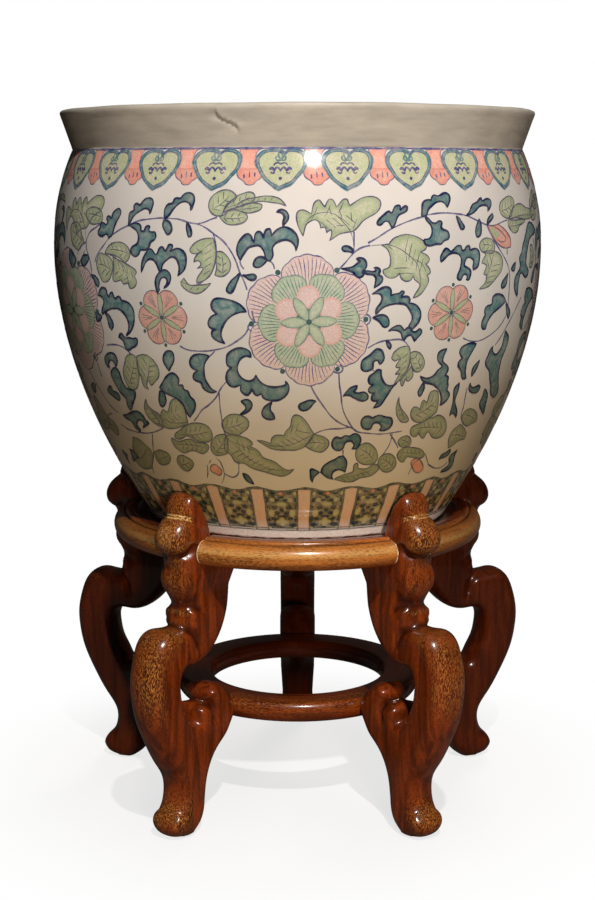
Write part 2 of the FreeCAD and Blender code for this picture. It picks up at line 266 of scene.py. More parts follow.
def flat_fill(loop, spacing, rings=()):
    """Triangles over a closed loop, with points inside it; returns points, triangles, edge distance."""
    low, high = loop.min(0), loop.max(0)
    xs = np.arange(low[0] + spacing / 2, high[0], spacing)
    ys = np.arange(low[1] + spacing / 2, high[1], spacing * 0.87)
    grid = np.array([(x + spacing / 2 * (j % 2), y) for j, y in enumerate(ys) for x in xs]).reshape(-1, 2)
    clear = max([spacing * 0.5] + [r * 1.25 for r in rings])
    if len(grid):
        grid = grid[inside(grid, loop)]
    if len(grid):
        grid = grid[distance_to(grid, loop, True)[0] > clear]
    extra = []
    step = np.roll(loop, -1, 0) - np.roll(loop, 1, 0)
    normal = np.stack([-step[:, 1], step[:, 0]], 1) / np.maximum(np.hypot(*step.T), 1e-9)[:, None]
    area = (loop[:, 0] * np.roll(loop[:, 1], -1) - np.roll(loop[:, 0], -1) * loop[:, 1]).sum()
    for ring in rings:
        moved = loop + normal * ring * np.sign(area)
        good = inside(moved, loop) & (distance_to(moved, loop, True)[0] > ring * 0.93)
        extra.append(moved[good])
    points = np.vstack([loop] + extra + [grid])
    edges = [(i, (i + 1) % len(loop)) for i in range(len(loop))]
    made = delaunay_2d_cdt([Vector(p) for p in points], edges, [], 1, 1e-5)
    out = np.array([tuple(v) for v in made[0]])
    triangles = np.array([f for f in made[2] if len(f) == 3], int)
    centre = out[triangles].mean(1)
    triangles = triangles[inside(centre, loop)]
    a, b, c = out[triangles[:, 0]], out[triangles[:, 1]], out[triangles[:, 2]]
    turn = (b[:, 0] - a[:, 0]) * (c[:, 1] - a[:, 1]) - (b[:, 1] - a[:, 1]) * (c[:, 0] - a[:, 0])
    triangles[turn < 0] = triangles[turn < 0][:, ::-1]
    return out, triangles[np.abs(turn) > 1e-7], distance_to(out, loop, True)[0]


# ------------------------------------------------------------------ meshes
def make_piece(name, vertices, faces, materials, body, attributes=None, normals=None,
               face_materials=None, sharp=None):
    """A mesh object that rides on a body; vertices are in metres."""
    mesh = bpy.data.meshes.new(name)
    mesh.from_pydata(np.asarray(vertices).tolist(), [], [list(map(int, f)) for f in faces])
    for material in materials:
        mesh.materials.append(material)
    if face_materials is not None:
        mesh.polygons.foreach_set("material_index", np.asarray(face_materials, np.int32))
    mesh.polygons.foreach_set("use_smooth", np.ones(len(mesh.polygons), bool))
    for key, values in (attributes or {}).items():
        values = np.asarray(values, np.float32)
        kind, field = ("FLOAT_VECTOR", "vector") if values.ndim == 2 else ("FLOAT", "value")
        mesh.attributes.new(key, kind, "POINT").data.foreach_set(field, values.ravel())
    mesh.validate()
    if sharp is not None:
        mesh.set_sharp_from_angle(angle=math.radians(sharp))
    if normals is not None:
        mesh.normals_split_custom_set_from_vertices(np.asarray(normals).tolist())
    piece = bpy.data.objects.new(name, mesh)
    bpy.context.scene.collection.objects.link(piece)
    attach(piece, body)
    return piece


def grid_faces(rows, columns):
    """Quads of a grid of points laid row by row, where each row closes on itself."""
    row, column = np.meshgrid(np.arange(rows - 1), np.arange(columns), indexing="ij")
    following = (column + 1) % columns
    corners = [row * columns + column, row * columns + following]
    corners += [corner + columns for corner in corners[::-1]]
    return np.stack(corners, -1).reshape(-1, 4)


# ------------------------------------------------------------------ the bowl's shape
FOOT_Z, BELLY_Z, NECK_Z = 271.3, 521.3, 613.3
BELLY_R, FOOT_R, NECK_R = 228.0, 141.0, 209.0


def side_radius(z):
    """Outer radius of the bowl's side at a height, as the solid has it."""
    z = np.asarray(z, float)
    below = BELLY_R - (BELLY_R - FOOT_R) * (np.clip(BELLY_Z - z, 0, None) / (BELLY_Z - FOOT_Z)) ** 1.9
    above = (BELLY_R - NECK_R) * (np.clip(z - BELLY_Z, 0, None) / (NECK_Z - BELLY_Z)) ** 2.2
    return below - above


SIDE_Z = np.linspace(FOOT_Z, NECK_Z, 700)
SIDE_R = side_radius(SIDE_Z)
SIDE_S = np.r_[0, np.cumsum(np.hypot(np.diff(SIDE_R), np.diff(SIDE_Z)))]


def on_glaze(turn, along, lift):
    """Points and normals on the bowl's side; turn in degrees, along the side and lift in mm."""
    z, r = np.interp(along, SIDE_S, SIDE_Z), np.interp(along, SIDE_S, SIDE_R)
    slope_z = (np.interp(along + 1, SIDE_S, SIDE_Z) - np.interp(along - 1, SIDE_S, SIDE_Z))
    slope_r = (np.interp(along + 1, SIDE_S, SIDE_R) - np.interp(along - 1, SIDE_S, SIDE_R))
    size = np.maximum(np.hypot(slope_z, slope_r), 1e-9)
    out_r, out_z = slope_z / size, -slope_r / size
    a = np.radians(turn)
    rr = r + out_r * lift
    points = np.stack([rr * np.sin(a), -rr * np.cos(a), z + out_z * lift], 1) * MM
    normals = np.stack([out_r * np.sin(a), -out_r * np.cos(a), out_z], 1)
    return points, normals


def along_at(z):
    """How far along the side a height lies, in mm."""
    return np.interp(z, SIDE_Z, SIDE_S)


# ------------------------------------------------------------------ porcelain
def painted_low_shade(tree, place, colour, low=1.0):
    """Painted shade low on the belly: tints a colour tan and darker there, where the light from above falls
    off and the wood below throws warm light up; at the foot it is left nearly untinted, lighter than the
    belly above. Below one, low also darkens it there as further painted shade."""
    height = add_node(tree, "ShaderNodeSeparateXYZ", {"Vector": place})
    run = add_node(tree, "ShaderNodeMapRange", {
        "Value": height.outputs["Z"], "From Min": 0.27, "From Max": 0.65})
    warm = add_node(tree, "ShaderNodeValToRGB", {"Fac": run}, stops=[
        (0.0, linear("#FFFBF8")), (0.03, linear("#FFFBF8")), (0.06, linear("#E5CB9C")),
        (0.20, linear("#DAC69F")), (0.30, linear("#D4C5AC")), (0.45, linear("#E1DED7")),
        (0.60, linear("#E6E7E8")), (0.80, linear("#E9E7E8"))])
    warmed = add_node(tree, "ShaderNodeMix", {
        "Factor": 1.0, "A": colour, "B": warm}, **MULTIPLY)
    dim = add_node(tree, "ShaderNodeMapRange", {
        "Value": height.outputs["Z"], "From Min": 0.32, "From Max": 0.47, "To Min": low, "To Max": 1.0})
    dimmed = add_node(tree, "ShaderNodeMix", {
        "Factor": 1.0, "A": warmed, "B": dim},
        **MULTIPLY)
    return dimmed


def porcelain_glaze(name, colour, with_painted_shade):
    """Porcelain under a clear fired glaze: cream body, glassy skin, faint pooling and specks."""
    material, tree, place = new_material(name)
    # Clouding of the body under the glaze, patches about 60 mm across.
    cloud = add_node(tree, "ShaderNodeTexNoise", {"Vector": place, "Scale": 16.0, "Detail": 3.0})
    tone = add_node(tree, "ShaderNodeValToRGB", {"Fac": cloud}, stops=[
        (0.3, shaded(colour, 0.90)), (0.7, colour)])
    # Painted shade: the outside's glaze is tinted tan and darker low on the belly, and left light at the
    # foot.
    body = painted_low_shade(tree, place, tone) if with_painted_shade else tone
    # Iron specks under 1 mm, drawn 1.5 mm across so that they show.
    speck = add_node(tree, "ShaderNodeTexVoronoi", {"Vector": place, "Scale": 95.0})
    dots = add_node(tree, "ShaderNodeValToRGB", {"Fac": speck}, stops=[
        (0.0, linear("#8B7A66")), (0.055, linear("#FFFFFF"))])
    sparse = add_node(tree, "ShaderNodeTexNoise", {"Vector": place, "Scale": 60.0})
    often = add_node(tree, "ShaderNodeMapRange", {
        "Value": sparse, "From Min": 0.62, "From Max": 0.68})
    base = add_node(tree, "ShaderNodeMix", {
        "Factor": often, "A": body, "B": dots},
        **MULTIPLY)
    # Orange-peel of the fired skin, waves about 12 mm apart and very shallow.
    peel = add_node(tree, "ShaderNodeTexNoise", {"Vector": place, "Scale": 80.0, "Detail": 1.0})
    bump = add_node(tree, "ShaderNodeBump", {
        "Height": peel, "Strength": 0.08, "Distance": 0.0006})
    shader = add_node(tree, "ShaderNodeBsdfPrincipled", {
        "Base Color": base, "Roughness": 0.075, "IOR": 1.52,
        "Normal": bump})
    add_node(tree, "ShaderNodeOutputMaterial", {"Surface": shader})
    return material


def satin_rim_glaze(colour):
    """Rim band in a thin matt slip: warm grey, brushed on unevenly, little gloss."""
    material, tree, place = new_material("matt_slip_rim")
    stretch = add_node(tree, "ShaderNodeMapping", {"Vector": place, "Scale": (1.0, 1.0, 5.0)})
    # Brush drag round the rim, streaks about 8 mm high.
    drag = add_node(tree, "ShaderNodeTexNoise", {
        "Vector": stretch, "Scale": 26.0, "Detail": 6.0, "Roughness": 0.6})
    tone = add_node(tree, "ShaderNodeValToRGB", {"Fac": drag}, stops=[
        (0.30, shaded(colour, 0.80)), (0.55, colour), (0.75, shaded(colour, 1.12))])
    grit = add_node(tree, "ShaderNodeTexNoise", {"Vector": place, "Scale": 420.0, "Detail": 2.0})
    rough = add_node(tree, "ShaderNodeMapRange", {
        "Value": drag, "To Min": 0.42, "To Max": 0.62})
    bump = add_node(tree, "ShaderNodeBump", {
        "Height": grit, "Strength": 0.25, "Distance": 0.0004})
    shader = add_node(tree, "ShaderNodeBsdfPrincipled", {
        "Base Color": tone, "Roughness": rough, "IOR": 1.48,
        "Normal": bump})
    add_node(tree, "ShaderNodeOutputMaterial", {"Surface": shader})
    return material


def biscuit_foot():
    """Unglazed ring the bowl stands on: dry, sandy, warm white."""
    material, tree, place = new_material("unglazed_biscuit_foot")
    grit = add_node(tree, "ShaderNodeTexNoise", {"Vector": place, "Scale": 500.0, "Detail": 3.0})
    tone = add_node(tree, "ShaderNodeValToRGB", {"Fac": grit}, stops=[
        (0.3, linear("#B09A80")), (0.7, linear("#CDBBA4"))])
    bump = add_node(tree, "ShaderNodeBump", {
        "Height": grit, "Strength": 0.4, "Distance": 0.0004})
    shader = add_node(tree, "ShaderNodeBsdfPrincipled", {
        "Base Color": tone, "Roughness": 0.85, "IOR": 1.45,
        "Normal": bump})
    add_node(tree, "ShaderNodeOutputMaterial", {"Surface": shader})
    return material


# Half section of the bowl: radius and height, from the middle of the base out and up, over the
# lip and down to the floor inside.  The side between the foot and the neck follows the solid.
BASE_SECTION = [(0.01, 275.3), (60, 275.3), (125, 275.3), (127, 274.3), (127.2, 272.2), (128.2, 271.4),
                (139.4, 271.4), (141, 272.4)]
COLLAR_SECTION = [(209.1, 613.9), (209.5, 615.2), (210.4, 618)]
LIP_SECTION = [(219.3, 644), (219.9, 646), (219.3, 647.9), (217.6, 648.9), (215, 649), (210, 649),
               (207.4, 648.7), (205.6, 647.4), (205, 645.2)]
RIM_FLARE = 0.3424              # how much wider the rim's face grows per mm of height
WALL = 11.6                     # bowl wall under its glaze
THROAT_R = 205.0                # inside the lip
# How the wall turns into the floor inside: how far in from the wall, and the height.
FLOOR_TURN = [(4, 297), (9, 291.5), (17, 287.2), (28, 285.5)]
FLOOR_Z = 285.3
GLAZED, RIM, BISCUIT, INSIDE = range(4)
DENT_TURN, DENT_Z = 345, 634    # the dent in the rim, 15 degrees to the left
DENT_SPAN = 5                   # the mesh is finer this many degrees each way of it


def bowl_section():
    """The bowl's half section and the finish of each of its points."""
    side_z = np.r_[np.arange(274, 606, 3.0), np.linspace(606, NECK_Z, 6)]
    face_z = np.arange(620.0, 643.0, 1.8)
    face = np.stack([209.8 + RIM_FLARE * (face_z - 616.2), face_z], 1)
    inner_z = np.arange(640, 300, -4.0)
    throat = np.interp(inner_z, [590, 645], [0, 1])
    wall = side_radius(np.clip(inner_z, 0, NECK_Z)) - WALL
    inner_r = wall * (1 - throat) + THROAT_R * throat
    parts = [
        (BISCUIT, BASE_SECTION), (GLAZED, np.stack([side_radius(side_z), side_z], 1)),
        (RIM, np.vstack([COLLAR_SECTION, face, LIP_SECTION])),
        (INSIDE, np.vstack([np.stack([inner_r, inner_z], 1), [(inner_r[-1] - r, z) for r, z in FLOOR_TURN],
                            [(60, FLOOR_Z), (0.01, FLOOR_Z)]]))]
    marks = np.concatenate([np.full(len(part), mark) for mark, part in parts])
    return np.vstack([part for _, part in parts]), marks


def hand_finished(r, z, turn, on_rim):
    """Radii and heights with a rim that wavers by under 1 mm and carries one S-shaped dent."""
    waver = 0.35 * np.sin(3 * turn + 1) + 0.25 * np.sin(7 * turn) + 0.2 * np.sin(17 * turn + 2)
    r = r + np.where(on_rim, waver * 0.6, 0)
    z = np.where(on_rim & (z > 640), z + (waver - 0.7) * 0.5, z)
    arc = np.where(turn > math.pi, turn - 2 * math.pi, turn) * 215
    bent = arc + 57 + 9 * np.tanh((z - DENT_Z) / 3.5)
    fold = np.tanh(bent / 1.3) * np.exp(-np.abs(bent) / 5.0) * np.exp(-((z - DENT_Z) / 7.5) ** 4)
    return r + np.where(on_rim & (r > 208), 1.9 * fold - 0.6 * np.abs(fold), 0), z


class JARDINIERE_OT_bowl(bpy.types.Operator):
    """Throw the bowl: glazed body, satin rim band with its dent, unglazed foot."""

    bl_idname = "jardiniere.bowl"
    bl_label = "Bowl"

    def execute(self, context):
        settings = context.scene.jardiniere_bowl
        section, marks = bowl_section()
        even = np.arange(settings.segments) * 360 / settings.segments
        even = even[np.abs(even - DENT_TURN) > DENT_SPAN]
        close = np.arange(DENT_TURN - DENT_SPAN, DENT_TURN + DENT_SPAN, 0.2)
        turn = np.radians(np.unique(np.round(np.r_[even, close], 4)))
        r, z = (np.repeat(section[:, [k]], len(turn), 1) for k in (0, 1))
        r, z = hand_finished(r, z, turn, (marks == RIM)[:, None])
        points = np.stack([r * np.sin(turn), -r * np.cos(turn), z], -1).reshape(-1, 3) * MM
        points *= [settings.belly_radius / (BELLY_R * MM)] * 2 + [1]
        row_marks = np.where((marks[:-1] == GLAZED) & (marks[1:] == RIM), RIM, marks[:-1])
        materials = [
            porcelain_glaze("clear_glazed_porcelain", settings.glaze_colour, True),
            satin_rim_glaze(settings.rim_colour), biscuit_foot(),
            # Painted shade: the inside's glaze is the outside's colour at 85 percent of its light.
            porcelain_glaze("clear_glazed_inside", shaded(settings.glaze_colour, 0.85), False)]
        bowl = make_piece("bowl_body", points, grid_faces(len(section), len(turn)), materials, "bowl",
                          face_materials=np.repeat(row_marks, len(turn)), sharp=50)
        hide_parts("bowl")
        return {"FINISHED"}


# ------------------------------------------------------------------ drawings of the painting
# Outlines drawn on the sheet described below.
SCROLL_LEAVES = [
    [(128.5,226,1),(129,219),(131,212),(134,210.5),(134.5,205.5),(137,203.5),(139.5,205),(143,201.5),
     (148,198),(151.5,198.5),(153.3,201.5),(152.5,207),(150,213.5,1),(149.5,210),(146,208.5),(141,210.5),
     (136,214),(132,219)],
    [(165,218.5,1),(164.5,213),(166,207),(169.5,204),(172.5,203.5),(174.5,199.5),(177,198),(180,198.5),
     (184,194.5),(189,192.7),(193,194.5),(194.5,199),(193.5,204),(191,210,1),(190.5,205),(187,202),
     (182,202),(177,205.5),(172,211),(168.5,216)],
    [(164,220,1),(163,225),(165,231),(168,234.5),(171,232),(171.5,226),(169,221.5)],
    [(187,222,1),(189.5,226),(191.5,232),(191,236),(189.5,237),(187.5,233),(186.5,227)],
    [(109,238,1),(106.5,234),(103,236),(99.5,235),(98.5,231),(100.5,227.5),(101,224),(103.5,222.5),
     (106,224.5),(108,221),(107,218),(109,216),(111.5,218),(113,214),(116,210),(119,208.5),(121,211),
     (120,216),(116.5,222),(114,229),(112.5,234)],
    [(129,225,1),(133,223.5),(138,223.5),(141,227),(141.5,231),(144,231),(145.5,228),(148,226),(150,226.5),
     (149,230),(151.5,232),(154.5,232),(156,235),(154,240),(151,242),(149,247),(145,250),(141,250),
     (139,254),(135.5,256.5),(132,254),(131,250),(133,246.5),(137,244),(138.5,240),(138.5,236),
     (136.5,230.5),(133,227.5)],
    [(160,272,1),(158,267),(155.5,262),(151.5,259),(148,260),(144.5,265),(141.5,272,1),(142,264),
     (144.5,256),(147,251.5),(150,249),(153.5,251.5),(156,254.5),(158,252),(159.5,248.5),(162,247),
     (164,249),(165,251),(167.5,248),(170,244.5),(172.5,245),(172,248.5),(170,251.5),(173,250),(178,248.5),
     (183,251),(186,257),(186,264),(184,270),(178,276,1),(179.5,268),(178,262),(175,257.5),(171.5,257),
     (167,260),(163,264),(161.5,269)],
    [(159,273,1),(156.5,277),(155.5,283),(157,290),(158,294,1),(159,287),(160,281),(162.5,277.5),(166,278),
     (167.5,281.5),(166.5,285),(164,288,1),(168,285),(170.5,280),(170.5,275),(167.5,271),(163.5,270)],
    [(70,249,1),(73,253),(76,259),(75.5,264),(73,268,1),(70.5,262),(69.5,255)],
    [(88,255,1),(84,255),(82,259),(82,264),(84,266),(87,263),(89,258)],
    [(91,275,1),(95,275.5),(98,279),(99.5,284),(98.5,286.5),(96,284),(94,279)],
    [(270,261,1),(266.5,259.5),(265,255),(262.5,249),(258.5,245.5),(254,246),(249,247.5),(245,252),
     (242,257),(240.5,260.5,1),(237.5,254),(237,248),(239,242),(243,237),(248,234),(251,236),(252.5,240),
     (254,242.5,1),(254.5,238),(256,233),(259,231.5),(262,234),(263.5,238,1),(264.5,234),(267,229.5),
     (269.5,229),(271,232),(271.5,236,1),(274.5,232),(279,228.5),(284,227),(290,229),(295,233),(298,240),
     (297.5,246),(296,251,1),(295,246),(291,241.5),(286,240),(280,241),(275,244),(272.5,249),(273,255)],
    [(267,260,1),(262,257),(257,258),(254,262),(254,266),(258,267.5),(263,265)],
    [(277,212,1),(280,210),(284,210),(287.5,213),(288.5,218),(286,222.5),(283,226,1),(283.5,221),
     (284.5,217),(282.5,213.5)],
    [(242,275,1),(248,275),(254,274.5),(256,276.5),(255,279),(251,280),(247,278)],
    [(240,273,1),(236.5,276),(232,280),(228.5,285),(227,291),(230,293),(234,289),(237,282),(239,277)],
    [(392,228.5,1),(390,224),(388,221.5),(384,222),(380,225),(377.5,224),(378,221),(382,216.5),(386,213),
     (389.5,211.5),(391,213),(394,208),(397,205.5),(400,206),(400,210),(403,207.5),(406.5,206.5),(407,209),
     (403,213),(399,215),(397,218),(395,224)],
    [(352.5,253,1),(352.5,250),(349,247),(345,246),(342,248),(343,250.5),(348,251.5)],
    [(341,268.5,1),(348,268),(354,266),(358,263),(360,261.5),(357,259),(361,258),(365,260),(366.5,264),
     (365,269),(362,272),(364,274.5,1),(360,277.5),(356,276),(354,273),(350,271),(345,269.5)],
    [(363,271,1),(369,271),(374,271.5),(376,270),(374,267.5,1),(378,268),(380,271),(378.5,275),
     (381.5,276.5),(382,281),(379,284.5),(374,288,1),(375.5,282),(375.5,277),(372,274.5),(367,274)],
    [(98.5,295,1),(100,290),(103,287.5),(106,289),(107.5,294),(109,296.5),(110.5,293),(112,292),(114,296),
     (115.5,298.5),(118,296.5),(120,297),(121.5,300),(126,301.5),(130,304),(133.5,310),(134.5,318),
     (133.5,325),(131,331),(126,336,1),(129,328),(128.5,322),(126,316),(122,311),(117,308.5),(111,309),
     (106,311.5),(102.5,314,1),(102.5,309),(104,303),(102,297)],
    [(96,312,1),(99,313.5),(102,316),(100,320),(98,321),(96.5,317)],
    [(105,312,1),(109,315),(112,320),(113.5,326),(112,330,1),(109.5,326),(108,320)],
    [(119,337,1),(121.5,333.5),(124,336),(126,338),(129,337.5),(133,338.5),(136.5,338),(137.5,342),
     (135.5,346),(132,348),(129.5,350),(126,348),(124.5,344),(123,340)],
    [(169,371,1),(166,366),(163.5,360),(164.5,354),(168,351),(172,351.5),(174,356),(173.5,362),(171,367)],
    [(105,357,1),(108,353.5),(113,353),(116.5,357),(117.5,363),(116,367,1),(113,361),(110.5,360),(109,364),
     (110,368,1),(107,365),(105.5,361)],
    [(160,387.5,1),(164,380),(168,375),(173,373),(177,376),(179,381),(179,385),(182.5,385),(184,389),
     (188,391),(190,396),(194,400),(195.5,406),(193,413),(190,417,1),(186.5,412),(184,406),(180,401),
     (174,397),(168,394),(163,391)],
    [(160,391,1),(163.5,392),(166,398),(165.5,404),(162.5,406.5),(160,403),(159.5,396)],
    [(112,370),(115,367.5),(119,371),(121,377),(124,384),(129,389),(135,391),(135,398),(133,404),(131,410),
     (128,406),(126.5,399),(122,394),(118,388),(114,381),(111.5,375)],
    [(108,389),(111,386),(113,390),(117,392.5),(120,396),(120,400),(116,398.5),(112,395)],
    [(123,415,1),(127,414.5),(132,412),(137,411),(141,413),(144,416),(146,420),(149,423),(146,425.5),
     (143,428,1),(144,423),(141.5,420.5),(139,420),(137,424),(140,428.5),(141,432,1),(137,429),(134,425),
     (131,421),(127,418.5)],
    [(129.5,449,1),(132,455),(134,461),(137,458),(139,457,1),(136,453),(132,450)],
    [(246,311.5,1),(241,305.5),(235,302),(228,299.5),(220,298.3),(214,299.5),(211.5,304),(212.5,309),
     (217,314,1),(212,316),(209,320),(208.5,325),(212,328.5),(216,329.5,1),(212.5,331),(212,335),(215,339),
     (220,342),(225,343.5,1),(222,339),(221,334),(222.5,327),(226,321),(232,315.5),(239,312.5)],
    [(251,357,1),(250,352),(246,349),(240,348),(233,350),(228,354),(226.5,360),(228,366),(232,367.5,1),
     (228.5,370),(226.5,375),(227,381),(230,385.5),(236,386.5),(241,385.5),(240.5,388),(243,393),
     (247.5,395),(250.5,392),(252,389,1),(254,393),(258,395.5),(261,394),(263,397),(268,400),(275,400.5),
     (282,398.5),(287,394),(289,388),(288,384),(285.5,381,1),(286,384),(282,386),(275,387),(268,386),
     (262,383),(258,379),(256,375,1),(254,379),(250,381),(245,380),(240,376),(237.5,370),(238,364),
     (241,358.5),(246,356)],
    [(209.5,356,1),(205,354.5),(199,354),(193,356),(190,361),(191,366),(195,369.5),(198,370.5,1),
     (194.5,373),(193.5,378),(197,381),(201,382.5),(203,387),(207,391),(212,392.5),(217,391.5,1),(212,389),
     (208,384),(205,378),(204,371),(205,363)],
    [(241,401,1),(245,399.5),(249,400),(252,404),(251,408),(247,412),(243,414),(240,414.5,1),(244,411),
     (246,408),(244,404)],
    [(272,402,1),(267,405),(263,409),(262,414),(265,418),(270,419.5),(274.5,418.5,1),(273,414),(270.5,410),
     (270.5,406)],
    [(316,401,1),(311,400),(304,402),(299,406),(300,409),(304,410.5),(309,408.5),(313,404)],
    [(243,473.5,1),(247,474.5),(251,478.5),(254,484,1),(249,482),(245,478)],
    [(319.5,472,1),(314,469.5),(311,469),(310.5,474),(311,479),(312.5,482,1),(314,477),(317,474)],
    [(343,456,1),(339,456.5),(335,459),(331,461),(326,464),(323,467),(321,472,1),(324,475),(329,478),
     (333,479,1),(331.5,476),(333,472),(338,469.5),(343,470.5),(345,472,1),(346.5,466),(346,460)],
    [(372,294,1),(376,291.5),(381,288.5),(386,287),(390,288.5),(391,292),(391,295.5,1),(395,294),
     (400,292.5),(402,291),(404,292),(402,295),(401,297.5,1),(404,296.5),(408,297),(409.5,299),(409,303,1),
     (414,304),(418,307),(420.5,312),(420,318),(417,324),(412,329,1),(409,327),(411,322),(412,316),
     (409,309),(405,304.5),(399,303.5),(391,304.5),(384,307),(379,311),(376,314,1),(376.5,309),(380,304),
     (382,299),(381,295),(377,293.5)],
    [(373,317.5,1),(378,315.5),(383,315),(387.5,317.5),(389,322),(388,326),(384,327),(381,324),(378,320.5)],
    [(388.5,331,1),(392,328),(396,326),(400,325.5),(402.5,328),(404,330),(407,328),(410,328),(412,331),
     (416,331.5),(420,329),(421.5,331),(420,335),(417,338),(414.5,341,1),(413,338),(411,335),(407,336),
     (404,340,1),(402,337),(401,333),(397,330.5),(393,330)],
    [(386,340.5,1),(388.5,342),(391,346),(390,349,1),(387.5,346)],
    [(361,366),(362,361),(366,357.5),(370,355,1),(373,352),(377,349),(381,350),(383.5,354),(384,359),
     (381.5,363,1),(379.5,364),(378.5,361),(375,360.5),(373,363),(372.5,368),(369,370.5),(364.5,371),
     (361.5,369)],
    [(381,370,1),(377,370),(375,372),(370,376),(368.5,381),(370,384),(373.5,384.5,1),(370,387),(368.5,391),
     (371,393),(374.5,392.5,1),(372,396),(372,400),(375,401),(378,400,1),(376,404),(373,408,1),(379,406),
     (384,400),(389,392),(394,385.5),(397,383,1),(391,385.5),(386,384.5),(382.5,380),(381,374)],
    [(343,396,1),(347,391),(352,387),(357,385.5,1),(356,389),(354,391.5),(358,393),(363,392),(367,394),
     (368,398),(365,400.5),(359,400),(353,397),(348,395)],
    [(361,422),(363,418),(368,416),(372,418,1),(376,416),(380,415),(386,417),(391,418),(392,423),(389,428),
     (384,430.5),(379,430,1),(381,427),(379,423),(375,422.5),(372,425),(371,428),(366,429),(362,427)],
    [(332,445),(333,440),(336,437),(341,438),(345,435.5),(349,436),(353,434),(358,434.5),(360.5,439),
     (359,445),(356,448.5),(352,448.5,1),(354,445),(352,441.5),(348,441),(345,443),(343,448),(338,450.5),
     (334,449)],
    [(421.5,216,1),(422,208),(423.5,202),(427,200),(431,200,1),(432,196.5),(434,195),(437,196),(441,194.5),
     (445,193),(449,195.5),(449.5,200),(447,207.5,1),(444,203),(441,201.5),(436,202.5),(432,205.5),
     (428,210),(425.5,216)],
    [(466,215.5,1),(469,212),(471,207),(473,204),(477,202),(479,199.5),(481,198,1),(482,201),(485,199.5),
     (489,199),(491,203),(490,207),(487.5,211,1),(487,206),(484,205),(480,206),(476,210),(472,213.5)],
    [(425,216.5,1),(429,219),(432,222.5),(436,223),(439,221),(441.5,222),(441,227),(443,229.5),(447,231),
     (449,235),(448,239),(444,241),(441,244),(437,244),(433,245),(428,245.5),(424.5,243),(424,240),
     (428,239),(431,236),(432,231),(430.5,225),(427,220.5)],
    [(441,262,1),(440.5,257),(443,252),(446,248.5),(449,250),(450.5,252,1),(454,249),(458,245.5),(461,246),
     (462,250),(464,250.5),(466,247),(469,246),(470,250),(474,248.5),(478,250),(479.5,255),(479,261),
     (477,267),(473,269.5,1),(473,265),(473.5,261),(471,258),(467.5,257.5),(465,261),(464.5,266),
     (467,267.5),(470,270),(470,276),(468,280),(466,279.5,1),(467,276),(465,274),(462.5,276),(460,280),
     (458,279),(458,274),(460,269),(461,264),(461,258),(458,254),(453,253),(448,255),(444,259)],
    [(456,216,1),(459,218),(462,223),(464,228),(462,229.5),(459.5,226)],
    [(479,219,1),(480.5,223),(481,229),(480,235),(477.5,237),(475.5,233),(476,227)],
    [(492,213.5,1),(493,216),(490,221),(487,225,1),(487.5,220)],
    [(515.5,262,1),(515,266),(513,271),(511.5,270),(512.5,266)],
    [(508,273,1),(507,279),(504,287),(502,288),(501.5,284),(504,279)],
    [(505.5,301,1),(503,296),(498.5,294),(494,295.5),(492,300),(491.5,304),(487,306),(484.5,311),
     (485,315,1),(483,319),(481.5,324),(483,329),(485.5,328.5,1),(487,323),(490,317),(495,311),(501,306)],
    [(506,302,1),(508,307),(509.5,314),(508,318.5,1),(506.5,313)],
    [(446.5,349,1),(442,350),(438.5,353),(437.5,358),(439,362.5),(442,365.5),(438,370),(435,374),
     (430,377.5),(425,378),(420,376,1),(422,380),(427,383),(433,384.5),(437,388),(440,393),(441,399),
     (440,405,1),(444,402.5),(448,398),(449,393),(447,390),(448,386),(447.5,381),(448,377),(445,375,1),
     (447,372),(448,368),(446,364.5),(443,362),(443.5,356)],
    [(423.5,382,1),(424,387),(422,393),(419.5,396),(418,393.5),(419.5,388)],
    [(476,344,1),(472,343),(466,344.5),(461,348),(459.5,353),(461,356),(462,358.5,1),(458.5,362),(458,366),
     (460.5,370),(461,375),(463,379),(466,378,1),(465,373),(465.5,367),(467,361),(470,355),(473.5,349)],
    [(479.5,360,1),(475.5,364),(472,370),(471.5,376,1),(475,371),(478,365)],
    [(470,383,1),(471.5,387),(475,387),(479,385.5),(480,387,1),(477.5,391.5),(473,393),(469.5,390.5),
     (469,386)],
    [(505,331,1),(508,336),(507.5,342),(505,350),(502,357),(500,364),(498.5,372),(498,380),(498,388),
     (496,395),(493,397),(490.5,394),(490.5,386),(489.5,378),(488.5,370),(486,366),(485.5,361),(488,355),
     (490.5,349),(493,346,1),(492.5,351),(495,354.5),(499,351),(502,345),(503.5,338)],
    [(459,383,1),(458,390),(455.5,397),(455,404),(456.5,410),(456,417,1),(452.5,413),(449.5,415.5,1),
     (451,409),(453,402),(453.5,394),(455,387)],
    [(485,389),(487,393),(486.5,400),(484.5,408),(483,413.5),(480.5,409),(479.5,403),(482.5,396)],
    [(439,459,1),(441,455),(446,452),(450,449,1),(450,452),(446,456)],
    [(457,450,1),(453,453),(449,458),(449,463),(446,467),(442,470),(440,472,1),(445,471),(450,468),
     (453,463),(454,457)],
    [(529,222),(527,226),(525.5,234),(524,240),(522.5,246),(521.5,252),(519.5,257),(520,264),(519,270),
     (515.5,276),(514,283),(515,292),(517,296,1),(518,284),(522,273),(525,277),(528,272),(526,265),
     (526,258),(527,250),(528.5,242),(531,236),(534.5,232),(533,226)],
]

